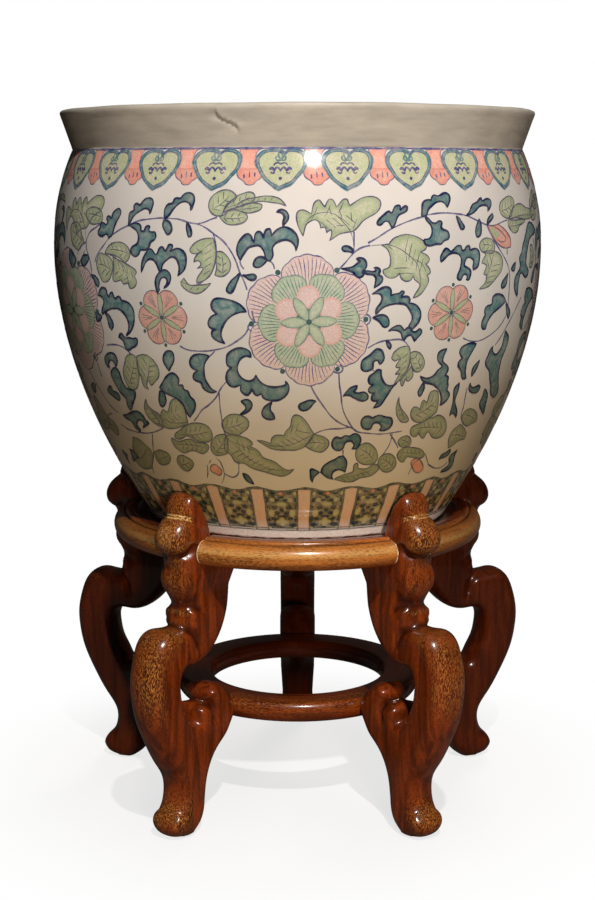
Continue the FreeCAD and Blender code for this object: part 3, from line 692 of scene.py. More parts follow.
# Pale leaves: the outline, then the veins drawn in it.
PALE_LEAVES = [
    [[(88,219),(86,214),(88,209.5),(93,207),(98,208),(102,212),(103,217),(101,222.5),(96,224),(91,223.5)]],
    [[(71,228),(73,223),(77,222),(80,225),(81.5,231),(83,238),(84,243),(82,246),(79,250),(76,248),(73,244),
     (71.5,237)]],
    [[(105,253.5,1),(108,247),(113,243),(119,242),(125,244),(129,249),(130,255),(128,260),(125,263,1),
     (121,259),(116,256),(110,254)]],
    [[(104,254,1),(100,253),(97.5,258),(97,266),(99,273),(101,278),(104,282),(108,281),(111,276),(113,268),
     (112,260),(108.5,256)]],
    [[(113,257,1),(119,260),(125,263),(130,266),(134.5,269),(136.5,273),(135,275),(136.5,280),(136,285),
     (133,288),(130,288),(128,283),(124,284),(121,280),(118,281),(114,281),(113,276),(114,268)],
     [(105,254),(113,256),(119,261),(124,267),(127,275),(129,283),(131,287)]],
    [[(222,215.5,1),(217,216),(212,213.5),(209,208),(209.5,201),(213,195.5),(218,192),(224,190),(230,190.5),
     (234,193),(236.5,197),(235,200,1),(231,202.5),(227,206),(224,211)]],
    [[(223,213,1),(225,208),(228,203),(233,199.5),(237,196),(243,193.5),(249,192),(253,193),(255,196),
     (254,200),(250,203.5,1),(245,204),(240,206.5),(231,209)]],
    [[(236,207.5,1),(241,202),(248,199),(256,197.5),(265,196),(273,196.5),(280,199),(284,203),(286,206,1),
     (281,204),(275,203),(268,202),(260,201.5),(252,203),(246,204.5),(241,206.5)]],
    [[(230,209.5,1),(236,208),(243,205),(250,203),(257,203.5),(262,205),(261,209),(256,211.5),(250,213),
     (244,212.5),(238,210.5)]],
    [[(224,215,1),(228,211.5),(233,210),(240,211),(245,213),(247.5,217),(245,221.5),(239,224),(232,225),
     (226,223.5),(222,220),(219.5,217,1)]],
    [[(213,238,1),(206,238.5),(198,241),(192,246),(190,251),(193,253.5),(199,253),(202,251,1),(198,254),
     (195,258),(194,262,1),(199,261),(201,263.5),(197,268.5,1),(203,268),(200,274),(197,280),(197,283,1),
     (203,281),(209,277),(213,270),(216,260),(216.5,252),(215,244)],
     [(214,238),(216,247),(216,255),(214,265),(211,273),(205,280),(199,284),(191,285),(184,283),(180,281)]],
    [[(216,252,1),(221,251.5),(226,255),(230,261),(230.5,268),(227,274),(221,276.5),(215,275,1),(216.5,268),
     (216,260)]],
    [[(184,278,1),(181,283),(184,288),(190,292),(196,293.5),(202,292),(207,288),(211,283,1),(205,284.5),
     (198,285),(190,285)]],
    [[(303,236,1),(299,228),(296.5,218),(298,211.5),(303,210),(308,212),(311.5,214,1),(313,206),(316,201),
     (319,200),(322,203.5),(325,207,1),(327,202),(330,199),(333,200),(335,203.5),(336.5,207,1),(340,203),
     (344,199.3),(347,199.3),(348.5,203),(350,205.5,1),(356,201.5),(362,198),(369,196.5),(376,197.5),
     (380,201),(380.5,206),(378,211),(370,216.5),(362,222),(357,228),(353,231.5,1),(346,232.5),(340,234),
     (335,237),(329.5,240.5,1),(331.5,235),(331,230),(326.5,232.5,1),(325,227.5),(320.5,228,1),(319.5,223),
     (316,220),(311,221),(306,225),(304.5,230)],
     [(306,222),(312,216),(320,213),(329,212.5),(336,215),(343,222),(349,229),(352,236),(354,246)],
     [(329,207),(331.5,215)], [(339,209),(342,218)], [(351,212),(351.5,221)], [(357,218),(353,229)],
      [(336,226),(345,225)]],
    [[(389,244,1),(393,239),(399,236),(406,234.5),(413,235.5),(420,238.5),(425,243),(426,248),(420,252,1),
     (425,254),(429,258),(428.5,262),(425.5,264,1),(429,268),(430,273),(427,275,1),(428.5,279),(427,285),
     (424,290),(418,296),(413,298,1),(417,291),(419.5,284),(415,280),(413,276,1),(410,280.5),(405,281),
     (401,278),(399.5,273,1),(398,275),(393,278),(388,277.5),(384,274),(383,270.5),(388,268),(390.5,262),
     (389.5,254),(386,248),(381,245,1)],
     [(368,246),(378,245),(389,245),(398,248),(406,253),(413,259),(418,266),(420,275),(420.5,284),
      (417,293)],
     [(407,253),(406,262)], [(388,246),(393,250)], [(414,259),(422,264),(426,272)]],
    [[(125,362),(126,357),(131,354),(136,357),(138,364),(139,372),(139,382),(136,389),(131,389),(127,384),
     (124,376),(123.5,368)]],
    [[(137,356,1),(143,354.5),(150,357),(155,362),(158.5,369),(159,376),(155,382),(151,385),(149,380),
     (147,385),(149,389,1),(145,387),(142,380),(139,372),(137,363)]],
    [[(409,346,1),(403,346.5),(397,349.5),(393,354),(392,359),(395,361,1),(399,359),(401,358,1),(398,362),
     (396,367),(400,367.5,1),(398,371),(395.5,374),(400,373.5,1),(397,378),(394,384,1),(400,380),(405,374),
     (409,366),(410,358),(410,351)],
     [(409,346),(410,354),(409,363),(405,372),(399,380),(394,385),(388,386),(383,384)]],
    [[(410,353,1),(414,351.5),(419,352.5),(423,357),(424.5,363),(422,369),(418,372),(414,371,1),(411,364)]],
    [[(411,366,1),(413,373),(411,379),(407,381),(406,378,1),(404,382),(402,386),(400.5,383),(403,377),
     (408,371)]],
    [[(507,218.5,1),(502.5,216),(499.5,210),(500,203),(504,198.5),(509,196),(513,199),(514,204),(512,210),
     (511,216)]],
    [[(513.5,207,1),(517,204),(521,204),(525,207),(530,209),(532,213),(531,217),(526,219),(521,218.5),
     (515,218),(510,219)],
     [(507,219),(515,217),(523,215),(530,215)]],
    [[(508,219.5,1),(513,220),(520,219.5),(525,220),(523,223),(519,226),(518,230),(514,233),(510.5,230),
     (508,225)]],
    [[(488,253),(482.5,252),(479.5,247),(481,241),(486,238),(491,239),(494,243),(494.5,249),(492,253)]],
    [[(482,252,1),(485.5,254),(483,259),(481.5,263,1),(486,265),(485,270),(483.5,274,1),(486,275),(486,280),
     (483,285),(479,289,1),(485,288),(491,284),(496,278),(501,271),(502.5,263),(501,256),(497,252),
     (494,251)],
     [(494,252),(492,260),(489,270),(485,279)]],
    [[(146,399,1),(148,405),(153,410),(159,416),(163,423),(164,428,1),(158,425),(151,420),(146,413),
     (144.5,406)]],
    [[(160,424,1),(156,416),(152,410),(158,413),(162,418,1),(161,413),(164,409.5),(167,412),(169,409,1),
     (170,404),(172,400),(176,398.5),(181,402),(185,410),(187,418),(188,424,1),(180,427),(172,428.5),
     (165,427)],
     [(162,418),(170,422),(180,423),(188,422)]],
    [[(133,437,1),(139,439),(146,445),(152,452),(153,462),(152,468,1),(146,469),(140,466),(136,461),
     (134,455)]],
    [[(154,452,1),(158,450),(164,451),(169,454),(171,458),(169,463),(164,465),(159,463),(156,458)]],
    [[(178,457),(181,455),(187,457),(192,460),(194,464),(192,468),(188,471),(183,469.5),(179,465),
     (177,460)]],
    [[(192,423,1),(199,423),(206,425),(211,430),(212.5,436),(210,441),(204,442),(198,441),(192,438),
     (187,436),(180,439),(175,437),(176,433,1),(181,429),(187,425)]],
    [[(172,438),(178,441),(184,440),(190,439),(197,442),(204,443),(209,446),(208,450),(203,453.5),(196,451),
     (190,451),(184,453),(179,450),(174,445)]],
    [[(222,423),(224,419),(229,415),(236,414),(243,416),(248,420),(249,424),(246,430),(241,433.5),
     (239,435.5,1),(233,434),(228,433.5),(225,431),(222.5,427)]],
    [[(225,434,1),(218,435),(213,439),(211,445),(212,451),(216,455),(222,455),(227,453.5),(228,445),
     (227,438)]],
    [[(226,435,1),(232,435),(240,436),(248,439),(252.5,444),(250,446.5,1),(256,449),(259.5,452),(262,456),
     (270,460),(278,464),(283,468),(288,470),(294,469,1),(290,473),(283,476),(275,475),(267,472.5),
     (258,470),(250,467),(243,463),(238,463),(234,460),(231,455),(227,452)],
     [(226,437),(233,443),(240,450),(248,458),(258,464),(270,469),(284,470)], [(232,441),(243,446),
      (253,450)]],
    [[(257,440,1),(264,441),(271,443.5,1),(271.5,439),(275,435.5),(280,435),(284,435.5,1),(286,431),
     (290,427),(291.5,420),(294,415.5),(298,415),(303,418),(308,424),(311.5,430),(314,434,1),(310,441),
     (304,447),(296,450),(285,450),(275,449.5),(266,446)],
     [(258,440),(268,445),(279,446),(290,445),(300,441),(308,437),(314,434)], [(296,430),(303,432),
      (310,433)]],
    [[(314,434,1),(320,435.5),(326,438),(329,443),(327,448),(321,452),(314,451),(308,448),(305,446,1),
     (309,441)]],
    [[(358,447),(362,444),(368,443),(373,446),(377,452),(377.5,458),(374,463),(368,464.5),(361,463.5),
     (357,460),(355.5,453)]],
    [[(334,479,1),(343,481.5),(352,481.5),(360,478),(370,476),(376,472),(379,466),(375,464),(367,468),
     (358,468,1),(357,463),(354,465),(353,470.5),(345,474),(338,477)]],
    [[(380,457),(385,454),(391,454),(395,458),(396,464),(393,469),(388,472),(381,470),(378,465)]],
    [[(399,397,1),(397,403),(396,411),(398,418),(402,422),(408,421),(405,413,1),(401,408),(399,402)]],
    [[(411,411),(414,407),(418,407.5),(420,410,1),(421,404),(424,400),(426,402),(429,395),(432,391),
     (437,391),(438.5,396),(438,404),(436,412),(430,417),(424,421),(416,422),(411,417)]],
    [[(433,417),(438,415),(443,417),(446,422),(446,429),(443,435),(437,438),(431,436),(428,432),(426,434),
     (423,438),(420,436),(419,432,1),(416,436.5),(412,436),(410,431),(412,427),(418,424),(424,421),
     (429,418)]],
    [[(398,441),(402,437),(408,436),(411,440),(410,445),(405,447.5),(400,446)]],
    [[(400,450),(404,447),(410,447),(417,448),(423,451),(424,456),(418,458),(411,457),(407,457),(403,462),
     (399,460),(397,455)]],
    [[(460,424,1),(456,427),(452,431),(449,437),(448,443),(448,448,1),(453,445),(458,441),(464,439,1),
     (466,433),(464,428)]],
    [[(462,416),(465,411),(470,408.5),(475,411),(477,416),(476,421),(471,424),(467,426),(462,421)]],
]

# Buds: the pink outline, then the lines round and in it.
BUDS = [
    [[(487,225,1),(490,231),(494,239),(499,245),(505,248),(510.5,247,1),(510.5,240),(508,234),(503,228),
     (498,224,1),(493,225.5)],
     [(494,227),(498,229),(503,234),(505.5,240),(502,242),(497,239)], [(507,248),(507,255)]],
    [[(211,466),(215,464),(219,467),(222,471),(220,475),(215,473),(211,471)],
     [(216,458),(219,460),(222,465),(224,471),(224,478),(222,483)], [(207,464),(208,471),
      (207.5,478)], [(211,460),(209,463)]],
    [[(411,461),(414,459),(419,459),(422,463),(423,468),(420,472),(415,472),(412,467)],
     [(425,453),(421,458),(415,462),(411,468),(408,475)], [(425,453),(427,460),(429,466)]],
]
BUD_HEARTS = [[(491,227),(496,230),(499,236),(496,238),(492,233)]]

STEMS = [
    [(95,262),(97,255),(101,249),(106,242),(110,237),(115,233),(121,229),(128,225.5),(134,222.5),(142,220),
     (150,219),(160,218),(170,218.5),(180,219.5),(187,222),(197,224),(206,228),(214,234),(222,240),
     (228,247),(233,255),(237,264),(240,273),(244,281),(247,290)],
    [(101,223.5),(95,228),(91,231),(88,236),(86.5,242),(86.5,248),(89,256),(91,265),(91.5,272),(90,277)],
    [(86,242),(82,245),(79,250),(78,254)], [(217,217.5),(212,219),(205,222),(197,224)],
    [(213,233),(215,240),(216,250)], [(270,261),(273,264),(274.5,269)], [(240,261),(241,265),(244,269)],
    [(339,269),(345,263),(350,257),(356,251),(362,247.5),(370,245.5)],
    [(368,243),(377,238),(386,232),(395,227),(404,223),(412,220),(420,217.5),(427,216)],
    [(354,232),(354,246),(353,253),(351,256)], [(107,345),(115,344.5),(122,346.5),(127,350),(131,354)],
    [(180,346),(187,349.5),(197,351),(207,351),(217,349.5),(225,347.5),(234,343),(241,338),(246,333),
     (248,329)],
    [(215,351),(210,356)], [(226,382),(220,390),(217,396),(213,401),(206,407),(203,409),(198,416),
     (194,421)],
    [(219,392),(219.5,400),(220.5,410),(222,420),(224,430),(227,438)], [(252,331),(248,328),(250,324),
     (253,322)],
    [(252,311),(253.5,318),(255,323)],
    [(311,386),(314,392),(319,400),(324,407),(331,416),(340,423),(349,427),(356,430)],
    [(339,372),(339.5,385),(341,395),(342,405),(345,415),(350,424),(356,431),(366,433),(378,434),(390,433),
     (402,431)],
    [(314,434),(321,431),(330,429),(341,428.5),(350,427)],
    [(368,348),(375,344),(383,341),(391,340),(402,340),(407,344),(410,350)],
    [(392,434),(390,443),(386,450),(382,456)], [(390,434),(394,440),(398,448)], [(343,450),
     (343,456)], [(371,368),(374,371)],
    [(427,215),(436,213.5),(448,213),(458,214),(466,215.5),(473,218.5),(480,222),(487,225),(494,226),
     (500,223),(507,220)],
    [(487,226),(492,237),(498,247),(504,257),(508,266),(509.5,274),(509.5,280),(509,290),(508.5,300),
     (507,311),(503,321),(496,330),(487,337),(478,341),(470,341),(463,338)],
    [(505,329),(500,338),(495,345)], [(505,329),(511,318),(516,308),(521,297)],
    [(121,424),(128,429),(137,432),(148,433),(157,431),(163,428)], [(152.5,434),(153,445),(153.5,458),
     (152.5,468),(154,473)],
    [(224,473),(229,476),(234,477),(238,474),(239,468),(238.5,461)], [(463,425),(461,416),(463,408),
     (465,398),(467,388)],
    [(428,464),(435,468),(443,466),(447,462)], [(333,371),(338,373),(342,371),(342.5,367),(340,364)],
    [(366,314),(370,317),(369,323),(366,325)],
]

# Collar border: one of its hearts with its scrolls, and the pendant to its right.
COLLAR_HEARTS = 25
HEART = [(350,153,1),(345,150.5),(338,149.5),(330,150.5),(324,154.5),(322,161),(325,169),(330,177),
 (336,183),(343,187.5),(347,190,1),(352,187.5),(360,183.5),(366,176),(371,168),(372,160),(370,154),
 (365,150.5),(358,149.5),(353,150.5)]
HEART_MIDDLE, HEART_DOT = (347.5, 170), (348, 178.5)
# Left half of the ornament inside a heart: each line, its width in mm, and whether it is teal.
HEART_LINES = [
    ([(348.4,152.5),(348.8,156),(346.8,159.6),(343.4,160.4),(341.6,158),(343.2,155.8)], 1.9, True),
    ([(347.4,164.6),(344.8,163),(341.6,163.6),(340.4,165.6)], 1.5, False),
    ([(347.6,171.6),(345.8,168.4),(343.4,167.6),(341.4,170.2),(338.8,168),(336.6,169.8)], 2.0, False),
    ([(342.2,171.8),(340,173.4),(338,171.8)], 1.5, False)]
PENDANT = [(368,149,1),(378,149),(390,149,1),(387,150),(385,156),(387,163),(391,169),(394,175),(393,179),
 (390,181),(388,184),(385,185),(380,184),(378,181.5),(374,179),(371,176),(370,172),(371,168),(372,160),
 (370,154)]
PENDANT_TIP = [(371.2,167,1),(380,168.5),(389.7,167,1),(391,169),(394,175),(393,179),(390,181),(388,184),
 (385,185),(380,184),(378,181.5),(374,179),(371,176),(370,172)]

PENDANT_TICKS = ([(377, 174), (378, 178.5)], [(382, 171.5), (383, 178)], [(387, 172.5), (388, 177)])


# ------------------------------------------------------------------ painting tools
# The painting is drawn as the camera sees it, on a sheet 595 wide and 900 high whose middle is
# on the camera's axis.  A third value in a drawn point makes a corner of it.
SHEET_MIDDLE = (297.5, 450.0)
SHEET_REACH = 1612.4
DRAWN_EYE = np.array([0.0, -1537.6, 593.1])
DRAWN_PITCH = 0.1706
SHEET_MM = 0.83                 # mm on the glaze for one step of the sheet, near its middle
NEAR_LOTUS = 2.4
LOTUS_OFFSETS = (0.0, -64.7, 81.7, 146.4, 228.1)
LEFT_OFFSETS = (0.0, 146.4, 292.8)
RIGHT_OFFSETS = (0.0, 146.4)


def sight(points):
    """Places on the sheet as mm round the belly and mm along the side."""
    sheet = np.asarray(points, float)
    across = (sheet[:, 0] - SHEET_MIDDLE[0]) / SHEET_REACH
    up = (SHEET_MIDDLE[1] - sheet[:, 1]) / SHEET_REACH
    cos, sin = math.cos(DRAWN_PITCH), math.sin(DRAWN_PITCH)
    ray = np.stack([across, cos + up * sin, up * cos - sin], 1)
    far = -(ray[:, :2] @ DRAWN_EYE[:2]) / (ray[:, :2] ** 2).sum(1)
    near = np.full(len(sheet), 1000.0)
    for _ in range(36):
        middle = (near + far) / 2
        place = DRAWN_EYE + ray * middle[:, None]
        within = np.hypot(place[:, 0], place[:, 1]) < side_radius(place[:, 2])
        far, near = np.where(within, middle, far), np.where(within, near, middle)
    place = DRAWN_EYE + ray * far[:, None]
    return np.stack([np.arctan2(place[:, 0], -place[:, 1]) * BELLY_R, along_at(place[:, 2])], 1)


def repeats(flat):
    """Turns at which a drawn shape comes back round the bowl; none when it is drawn too far round."""
    turn = math.degrees(flat[:, 0].mean() / BELLY_R)
    if abs(turn) > 66:
        return ()
    if -8 < turn < 10:
        return LOTUS_OFFSETS
    if -16 < turn < -8:
        return LEFT_OFFSETS + LOTUS_OFFSETS[2::2]
    return LEFT_OFFSETS if turn < NEAR_LOTUS else RIGHT_OFFSETS


def drawn(points, spacing=1.3):
    """A drawn outline carried to the glaze."""
    return sight(ring_spline(points, spacing))


class Brush:
    """Gathers painted shapes that share one piece."""

    def __init__(self):
        self.points, self.normals, self.faces, self.wash, self.count = [], [], [], [], 0

    def lay(self, flat, faces, wash, lift, turns):
        """Puts a flat shape on the glaze at each turn; lift is the coat's height over the glaze in mm,
        and a later coat lies higher."""
        for turn in turns:
            points, normals = on_glaze(turn + np.degrees(flat[:, 0] / BELLY_R), flat[:, 1], lift)
            self.points.append(points)
            self.normals.append(normals)
            self.faces.append(np.asarray(faces) + self.count)
            self.wash.append(wash)
            self.count += len(points)

    def fill(self, loop, lift, turns, spacing=5.0):
        """Fills a closed outline; the wash is how far each point is from its edge."""
        points, faces, wash = flat_fill(loop, spacing, rings=(1.1,))
        self.lay(points, faces, wash, lift, turns)

    def stroke(self, line, width, lift, turns, closed=False, taper=0.6):
        """A brush line that swells and thins, finer at its ends."""
        ahead = np.roll(line, -1, 0) if closed else np.vstack([line[1:], line[-1:]])
        behind = np.roll(line, 1, 0) if closed else np.vstack([line[:1], line[:-1]])
        step = ahead - behind
        side = np.stack([-step[:, 1], step[:, 0]], 1) / np.maximum(np.hypot(*step.T), 1e-9)[:, None]
        run = np.r_[0, np.cumsum(np.hypot(*np.diff(line, axis=0).T))]
        share = run / max(run[-1], 1e-9)
        swell = 1 + 0.22 * np.sin(run / 5.3 + line[0, 0]) + 0.12 * np.sin(run / 2.1 + line[0, 1])
        if not closed:
            swell = swell * (1 - taper + taper * np.clip(np.sin(math.pi * share) * 1.6, 0, 1))
        half = (swell * width / 2)[:, None]
        n = len(line)
        low = np.arange(n if closed else n - 1)
        high = (low + 1) % n
        faces = np.stack([low, high, n + high, n + low], 1)
        self.lay(np.vstack([line - side * half, line + side * half]), faces,
                 np.full(2 * n, 2.0), lift, turns)

    def piece(self, name, enamel, colour, pool, **look):
        """Makes the mesh of everything laid so far, in an enamel that pools to another colour or to
        a share of its own light."""
        pooled = shaded(colour, pool) if isinstance(pool, float) else pool
        faces = [tuple(face) for block in self.faces for face in block.tolist()]
        paint = overglaze_enamel(enamel, colour, pooled, **look)
        return make_piece(name, np.vstack(self.points), faces, [paint],
                          "bowl", {"wash": np.concatenate(self.wash)}, np.vstack(self.normals))


def overglaze_enamel(name, colour, pooled, thin=0.30, reach=2.4, low=1.0):
    """Overglaze enamel fired on the glaze: glassy, streaked by the brush, thin enough in places
    for the cream body to show through, and darker where it pools at the edge of a leaf."""
    material, tree, place = new_material(name)
    wash = add_node(tree, "ShaderNodeAttribute", attribute_name="wash").outputs["Fac"]
    # Brush streaks about 6 mm across and broken grains of pigment under 1 mm.
    streak = add_node(tree, "ShaderNodeTexNoise", {
        "Vector": place, "Scale": 110.0, "Detail": 3.0, "Roughness": 0.6, "Distortion": 1.2})
    grain = add_node(tree, "ShaderNodeTexNoise", {"Vector": place, "Scale": 900.0, "Detail": 2.0})
    sheer = add_node(tree, "ShaderNodeMapRange", {
        "Value": streak, "From Min": 0.36, "From Max": 0.68, "To Min": 0.0, "To Max": thin})
    body = add_node(tree, "ShaderNodeMix", {
        "Factor": sheer, "A": colour, "B": linear("#D9CFC0")}, **BLEND)
    pool = add_node(tree, "ShaderNodeMapRange", {
        "Value": wash, "From Min": 0.0, "From Max": reach, "To Min": 0.75, "To Max": 0.0})
    edged = add_node(tree, "ShaderNodeMix", {
        "Factor": pool, "A": body, "B": pooled}, **BLEND)
    fleck = add_node(tree, "ShaderNodeMapRange", {
        "Value": grain, "From Min": 0.35, "From Max": 0.65, "To Min": 0.84, "To Max": 1.06})
    tone = add_node(tree, "ShaderNodeMix", {
        "Factor": 1.0, "A": edged, "B": fleck},
        **MULTIPLY)
    bump = add_node(tree, "ShaderNodeBump", {
        "Height": streak, "Strength": 0.12, "Distance": 0.0004})
    # Painted shade: the enamel is tinted tan and darker low on the belly like the glaze, and darker still
    # there where low is under one.
    shader = add_node(tree, "ShaderNodeBsdfPrincipled", {
        "Base Color": painted_low_shade(tree, place, tone, low), "Roughness": 0.09, "IOR": 1.55,
        "Normal": bump})
    add_node(tree, "ShaderNodeOutputMaterial", {"Surface": shader})
    return material


def polar(centre, angles, radii):
    """Flat points round a centre; angles in degrees, anticlockwise, and radii in mm."""
    a = np.radians(np.asarray(angles, float))
    return np.stack([centre[0] + radii * np.cos(a), centre[1] + radii * np.sin(a)], 1)


def drop(centre, angle, near, far, half, full=0.0):
    """Lens-shaped petal that points away from a centre, fuller towards its far end."""
    t = np.linspace(0, 2 * math.pi, 28, endpoint=False)
    along = (near + far) / 2 - (far - near) / 2 * np.cos(t)
    across = half * np.sin(t) * np.abs(np.sin(t)) ** 0.25 * (1 - full * np.cos(t))
    a = math.radians(angle)
    return np.stack([centre[0] + along * math.cos(a) + across * math.sin(a),
                     centre[1] + along * math.sin(a) - across * math.cos(a)], 1)


def dot(centre, radius, squash=1.0):
    """A round spot, in mm."""
    t = np.linspace(0, 2 * math.pi, 16, endpoint=False)
    return np.stack([centre[0] + radius * np.cos(t), centre[1] + radius * squash * np.sin(t)], 1)


# ------------------------------------------------------------------ painted borders
# Foot border: stripes round the foot, the turn of the first, and the band's heights.
FOOT_UNITS = 26
FOOT_START = 2.0
FOOT_LOW, FOOT_HIGH = 283.0, 323.0
# Spots of one panel: height, half width and half height in mm, and first how many degrees the
# paired ones stand from its middle.
PAIRED_LEAVES = (
    (2.3, 319.6, 2.6, 1.7), (1.2, 312.6, 2.1, 1.5), (4.2, 313.0, 1.3, 2.6), (2.2, 305.0, 2.7, 2.3),
    (1.5, 299.6, 2.3, 2.4), (4.5, 305.6, 1.3, 1.5), (4.4, 292.6, 1.5, 1.9), (2.7, 293.8, 2.3, 1.9),
    (3.4, 287.6, 3.6, 2.3))
MIDDLE_LEAVES = ((302.6, 2.0, 2.2), (296.4, 4.4, 1.5), (285.2, 2.2, 1.2), (315.4, 2.4, 1.1))
PAIRED_LOZENGES = (
    (3.3, 299.4, 2.7, 4.4), (2.7, 312.8, 2.2, 2.6), (4.1, 319.2, 1.4, 2.4), (4.3, 284.8, 1.7, 1.0))


def foot_place(turn, z):
    """Flat place of a turn in degrees and a height in mm."""
    return math.radians(turn) * BELLY_R, float(along_at(z))


def foot_loop(corners, steps=6):
    """Closed outline between corners given as turns and heights."""
    corners = np.array([foot_place(*c) for c in corners])
    parts = [a + (b - a) * np.linspace(0, 1, steps, endpoint=False)[:, None]
             for a, b in zip(corners, np.roll(corners, -1, 0))]
    return np.vstack(parts)


def level_ring(z, steps=FOOT_UNITS * 24):
    """Flat line right round the bowl at a height, or at a height for each of its points."""
    share = np.linspace(-math.pi, math.pi, steps + 1)
    return np.stack([share * BELLY_R, along_at(np.broadcast_to(z, steps + 1))], 1)


def foot_spot(turn, z, wide, high, corners=0):
    """A spot on the foot border, wide and high in mm; with corners it is pinched like a quatrefoil."""
    t = np.linspace(0, 2 * math.pi, 28, endpoint=False)
    pinch = 1 + (0.22 * np.cos(corners * t) if corners else 0)
    stretch = BELLY_R / float(side_radius(z))
    x, y = foot_place(turn, z)
    return np.stack([x + wide * pinch * np.cos(t) * stretch, y + high * pinch * np.sin(t)], 1)


class JARDINIERE_OT_collar_border(bpy.types.Operator):
    """Paint the collar: hearts with scrolls, pink pendants and the cobalt line at the neck."""

    bl_idname = "jardiniere.collar_border"
    bl_label = "Collar border"

    def execute(self, context):
        paint = context.scene.jardiniere_paint
        turns = [360 / COLLAR_HEARTS * k for k in range(COLLAR_HEARTS)]
        grounds, bands, pendants, tips, knots, scrolls = (Brush() for _ in range(6))
        heart, pendant = drawn(HEART), drawn(PENDANT)
        grounds.fill(heart, 0.10, turns)
        middle = heart.mean(0)
        inner = middle + (heart - middle) * 0.955
        bands.stroke(inner, 3.4, 0.20, turns, closed=True)
        for size in (0.99, 0.87):
            knots.stroke(middle + (heart - middle) * size, 0.7, 0.26, turns, closed=True)
        pendants.fill(pendant, 0.08, turns)
        tips.fill(drawn(PENDANT_TIP), 0.14, turns)
        knots.stroke(pendant, 0.7, 0.16, turns, closed=True)
        axis = sight([HEART_MIDDLE])[0][0]
        for side in (1, -1):
            for line, width, is_teal in HEART_LINES:
                shape = (sight(spline(line, 0.8)) - [axis, 0]) * [side, 1] + [axis, 0]
                (scrolls if is_teal else knots).stroke(shape, width, 0.26 + 0.02 * side, turns, taper=0.35)
        knots.fill(dot(sight([HEART_DOT])[0], 1.4), 0.30, turns, spacing=2.0)
        for line in PENDANT_TICKS:
            knots.stroke(sight(spline(line, 0.7)), 1.3, 0.24, turns)
        knots.stroke(level_ring(NECK_Z - 1.0, 720), 2.0, 0.10, (0,), taper=0)
        grounds.piece("collar_hearts", "leaf_green_heart_enamel", paint.heart_green, 0.8, thin=0.5)
        bands.piece("collar_heart_bands", "teal_heart_band_enamel", paint.band_teal, 0.6, thin=0.45)
        scrolls.piece("collar_heart_scrolls", "teal_heart_scroll_enamel", paint.teal, 0.7, thin=0.5)
        pendants.piece("collar_pendants", "pale_pink_enamel", shaded(paint.border_pink, 1.12),
                       shaded(paint.border_pink, 0.9), thin=0.5)
        tips.piece("collar_pendant_tips", "rose_pink_enamel", paint.border_pink, 0.8, thin=0.4)
        knots.piece("collar_lines", "cobalt_line_enamel", paint.line_blue, 0.7, thin=0.35)
        return {"FINISHED"}


class JARDINIERE_OT_foot_border(bpy.types.Operator):
    """Paint the foot border: pink stripes between panels of leaf ornament."""

    bl_idname = "jardiniere.foot_border"
    bl_label = "Foot border"

    def execute(self, context):
        paint = context.scene.jardiniere_paint
        pitch = 360 / FOOT_UNITS
        half = pitch / 2
        turns = [FOOT_START + pitch * k for k in range(FOOT_UNITS)]
        stripes, grounds, leaves, lights, lines, berries, bands = (Brush() for _ in range(7))
        stripe = [(-1.9, FOOT_HIGH), (-1.75, FOOT_LOW), (1.75, FOOT_LOW), (1.9, FOOT_HIGH)]
        stripes.fill(foot_loop(stripe), 0.10, turns)
        low, high = FOOT_LOW + 0.5, FOOT_HIGH - 1.2
        panel = [(2.2, high), (2.1, low), (pitch - 2.1, low), (pitch - 2.2, high)]
        grounds.fill(foot_loop(panel), 0.10, turns)
        for side in (-1, 1):
            edge = [foot_place(side * 2.05, z) for z in np.linspace(FOOT_HIGH, FOOT_LOW - 1, 24)]
            lines.stroke(np.array(edge), 2.6, 0.20, turns, taper=0.15)
            for brush, spots, lift in ((leaves, PAIRED_LEAVES, 0.18), (lights, PAIRED_LOZENGES, 0.24)):
                for turn, *spot in spots:
                    brush.fill(foot_spot(half + side * turn, *spot), lift, turns, spacing=3)
        for spot in MIDDLE_LEAVES:
            leaves.fill(foot_spot(half, *spot), 0.20, turns, spacing=3)
        lights.fill(foot_spot(half, 308.6, 4.4, 2.5), 0.24, turns, spacing=3)
        lights.fill(foot_spot(half, 290.6, 4.8, 4.6, 4), 0.26, turns, spacing=3)
        berries.fill(foot_spot(half, 319.2, 1.8, 2.0), 0.24, turns, spacing=2)
        wave = np.linspace(-math.pi, math.pi, FOOT_UNITS * 24 + 1) - math.radians(FOOT_START)
        scalloped = FOOT_HIGH - 0.4 + 1.8 * np.cos(FOOT_UNITS * wave)
        bands.stroke(level_ring(277.2), 9.2, 0.06, (0,), taper=0)
        for z, wide in ((scalloped, 2.6), (FOOT_LOW + 1.2, 0.9), (FOOT_LOW - 1.0, 1.1)):
            lines.stroke(level_ring(z), wide, 0.22, (0,), taper=0)
        stripes.piece("foot_stripes", "salmon_stripe_enamel", paint.stripe_pink, 0.85, thin=0.5)
        bands.piece("foot_band", "white_slip_band", linear("#FFF8F0"), linear("#F4E6DA"), thin=0.3)
        grounds.piece("foot_panels", "olive_ground_enamel", paint.olive, 0.7, thin=0.6)
        leaves.piece("foot_leaves", "dark_teal_leaf_enamel", shaded(paint.ink_teal, 0.75),
                     shaded(paint.teal, 0.4), thin=0.3)
        lights.piece("foot_lozenges", "pale_lozenge_enamel", paint.pale_yellow, 0.75, thin=0.4)
        berries.piece("foot_berries", "pink_berry_enamel", paint.border_pink, 0.7)
        lines.piece("foot_lines", "grey_teal_line_enamel", paint.foot_line, 0.6, thin=0.35)
        return {"FINISHED"}


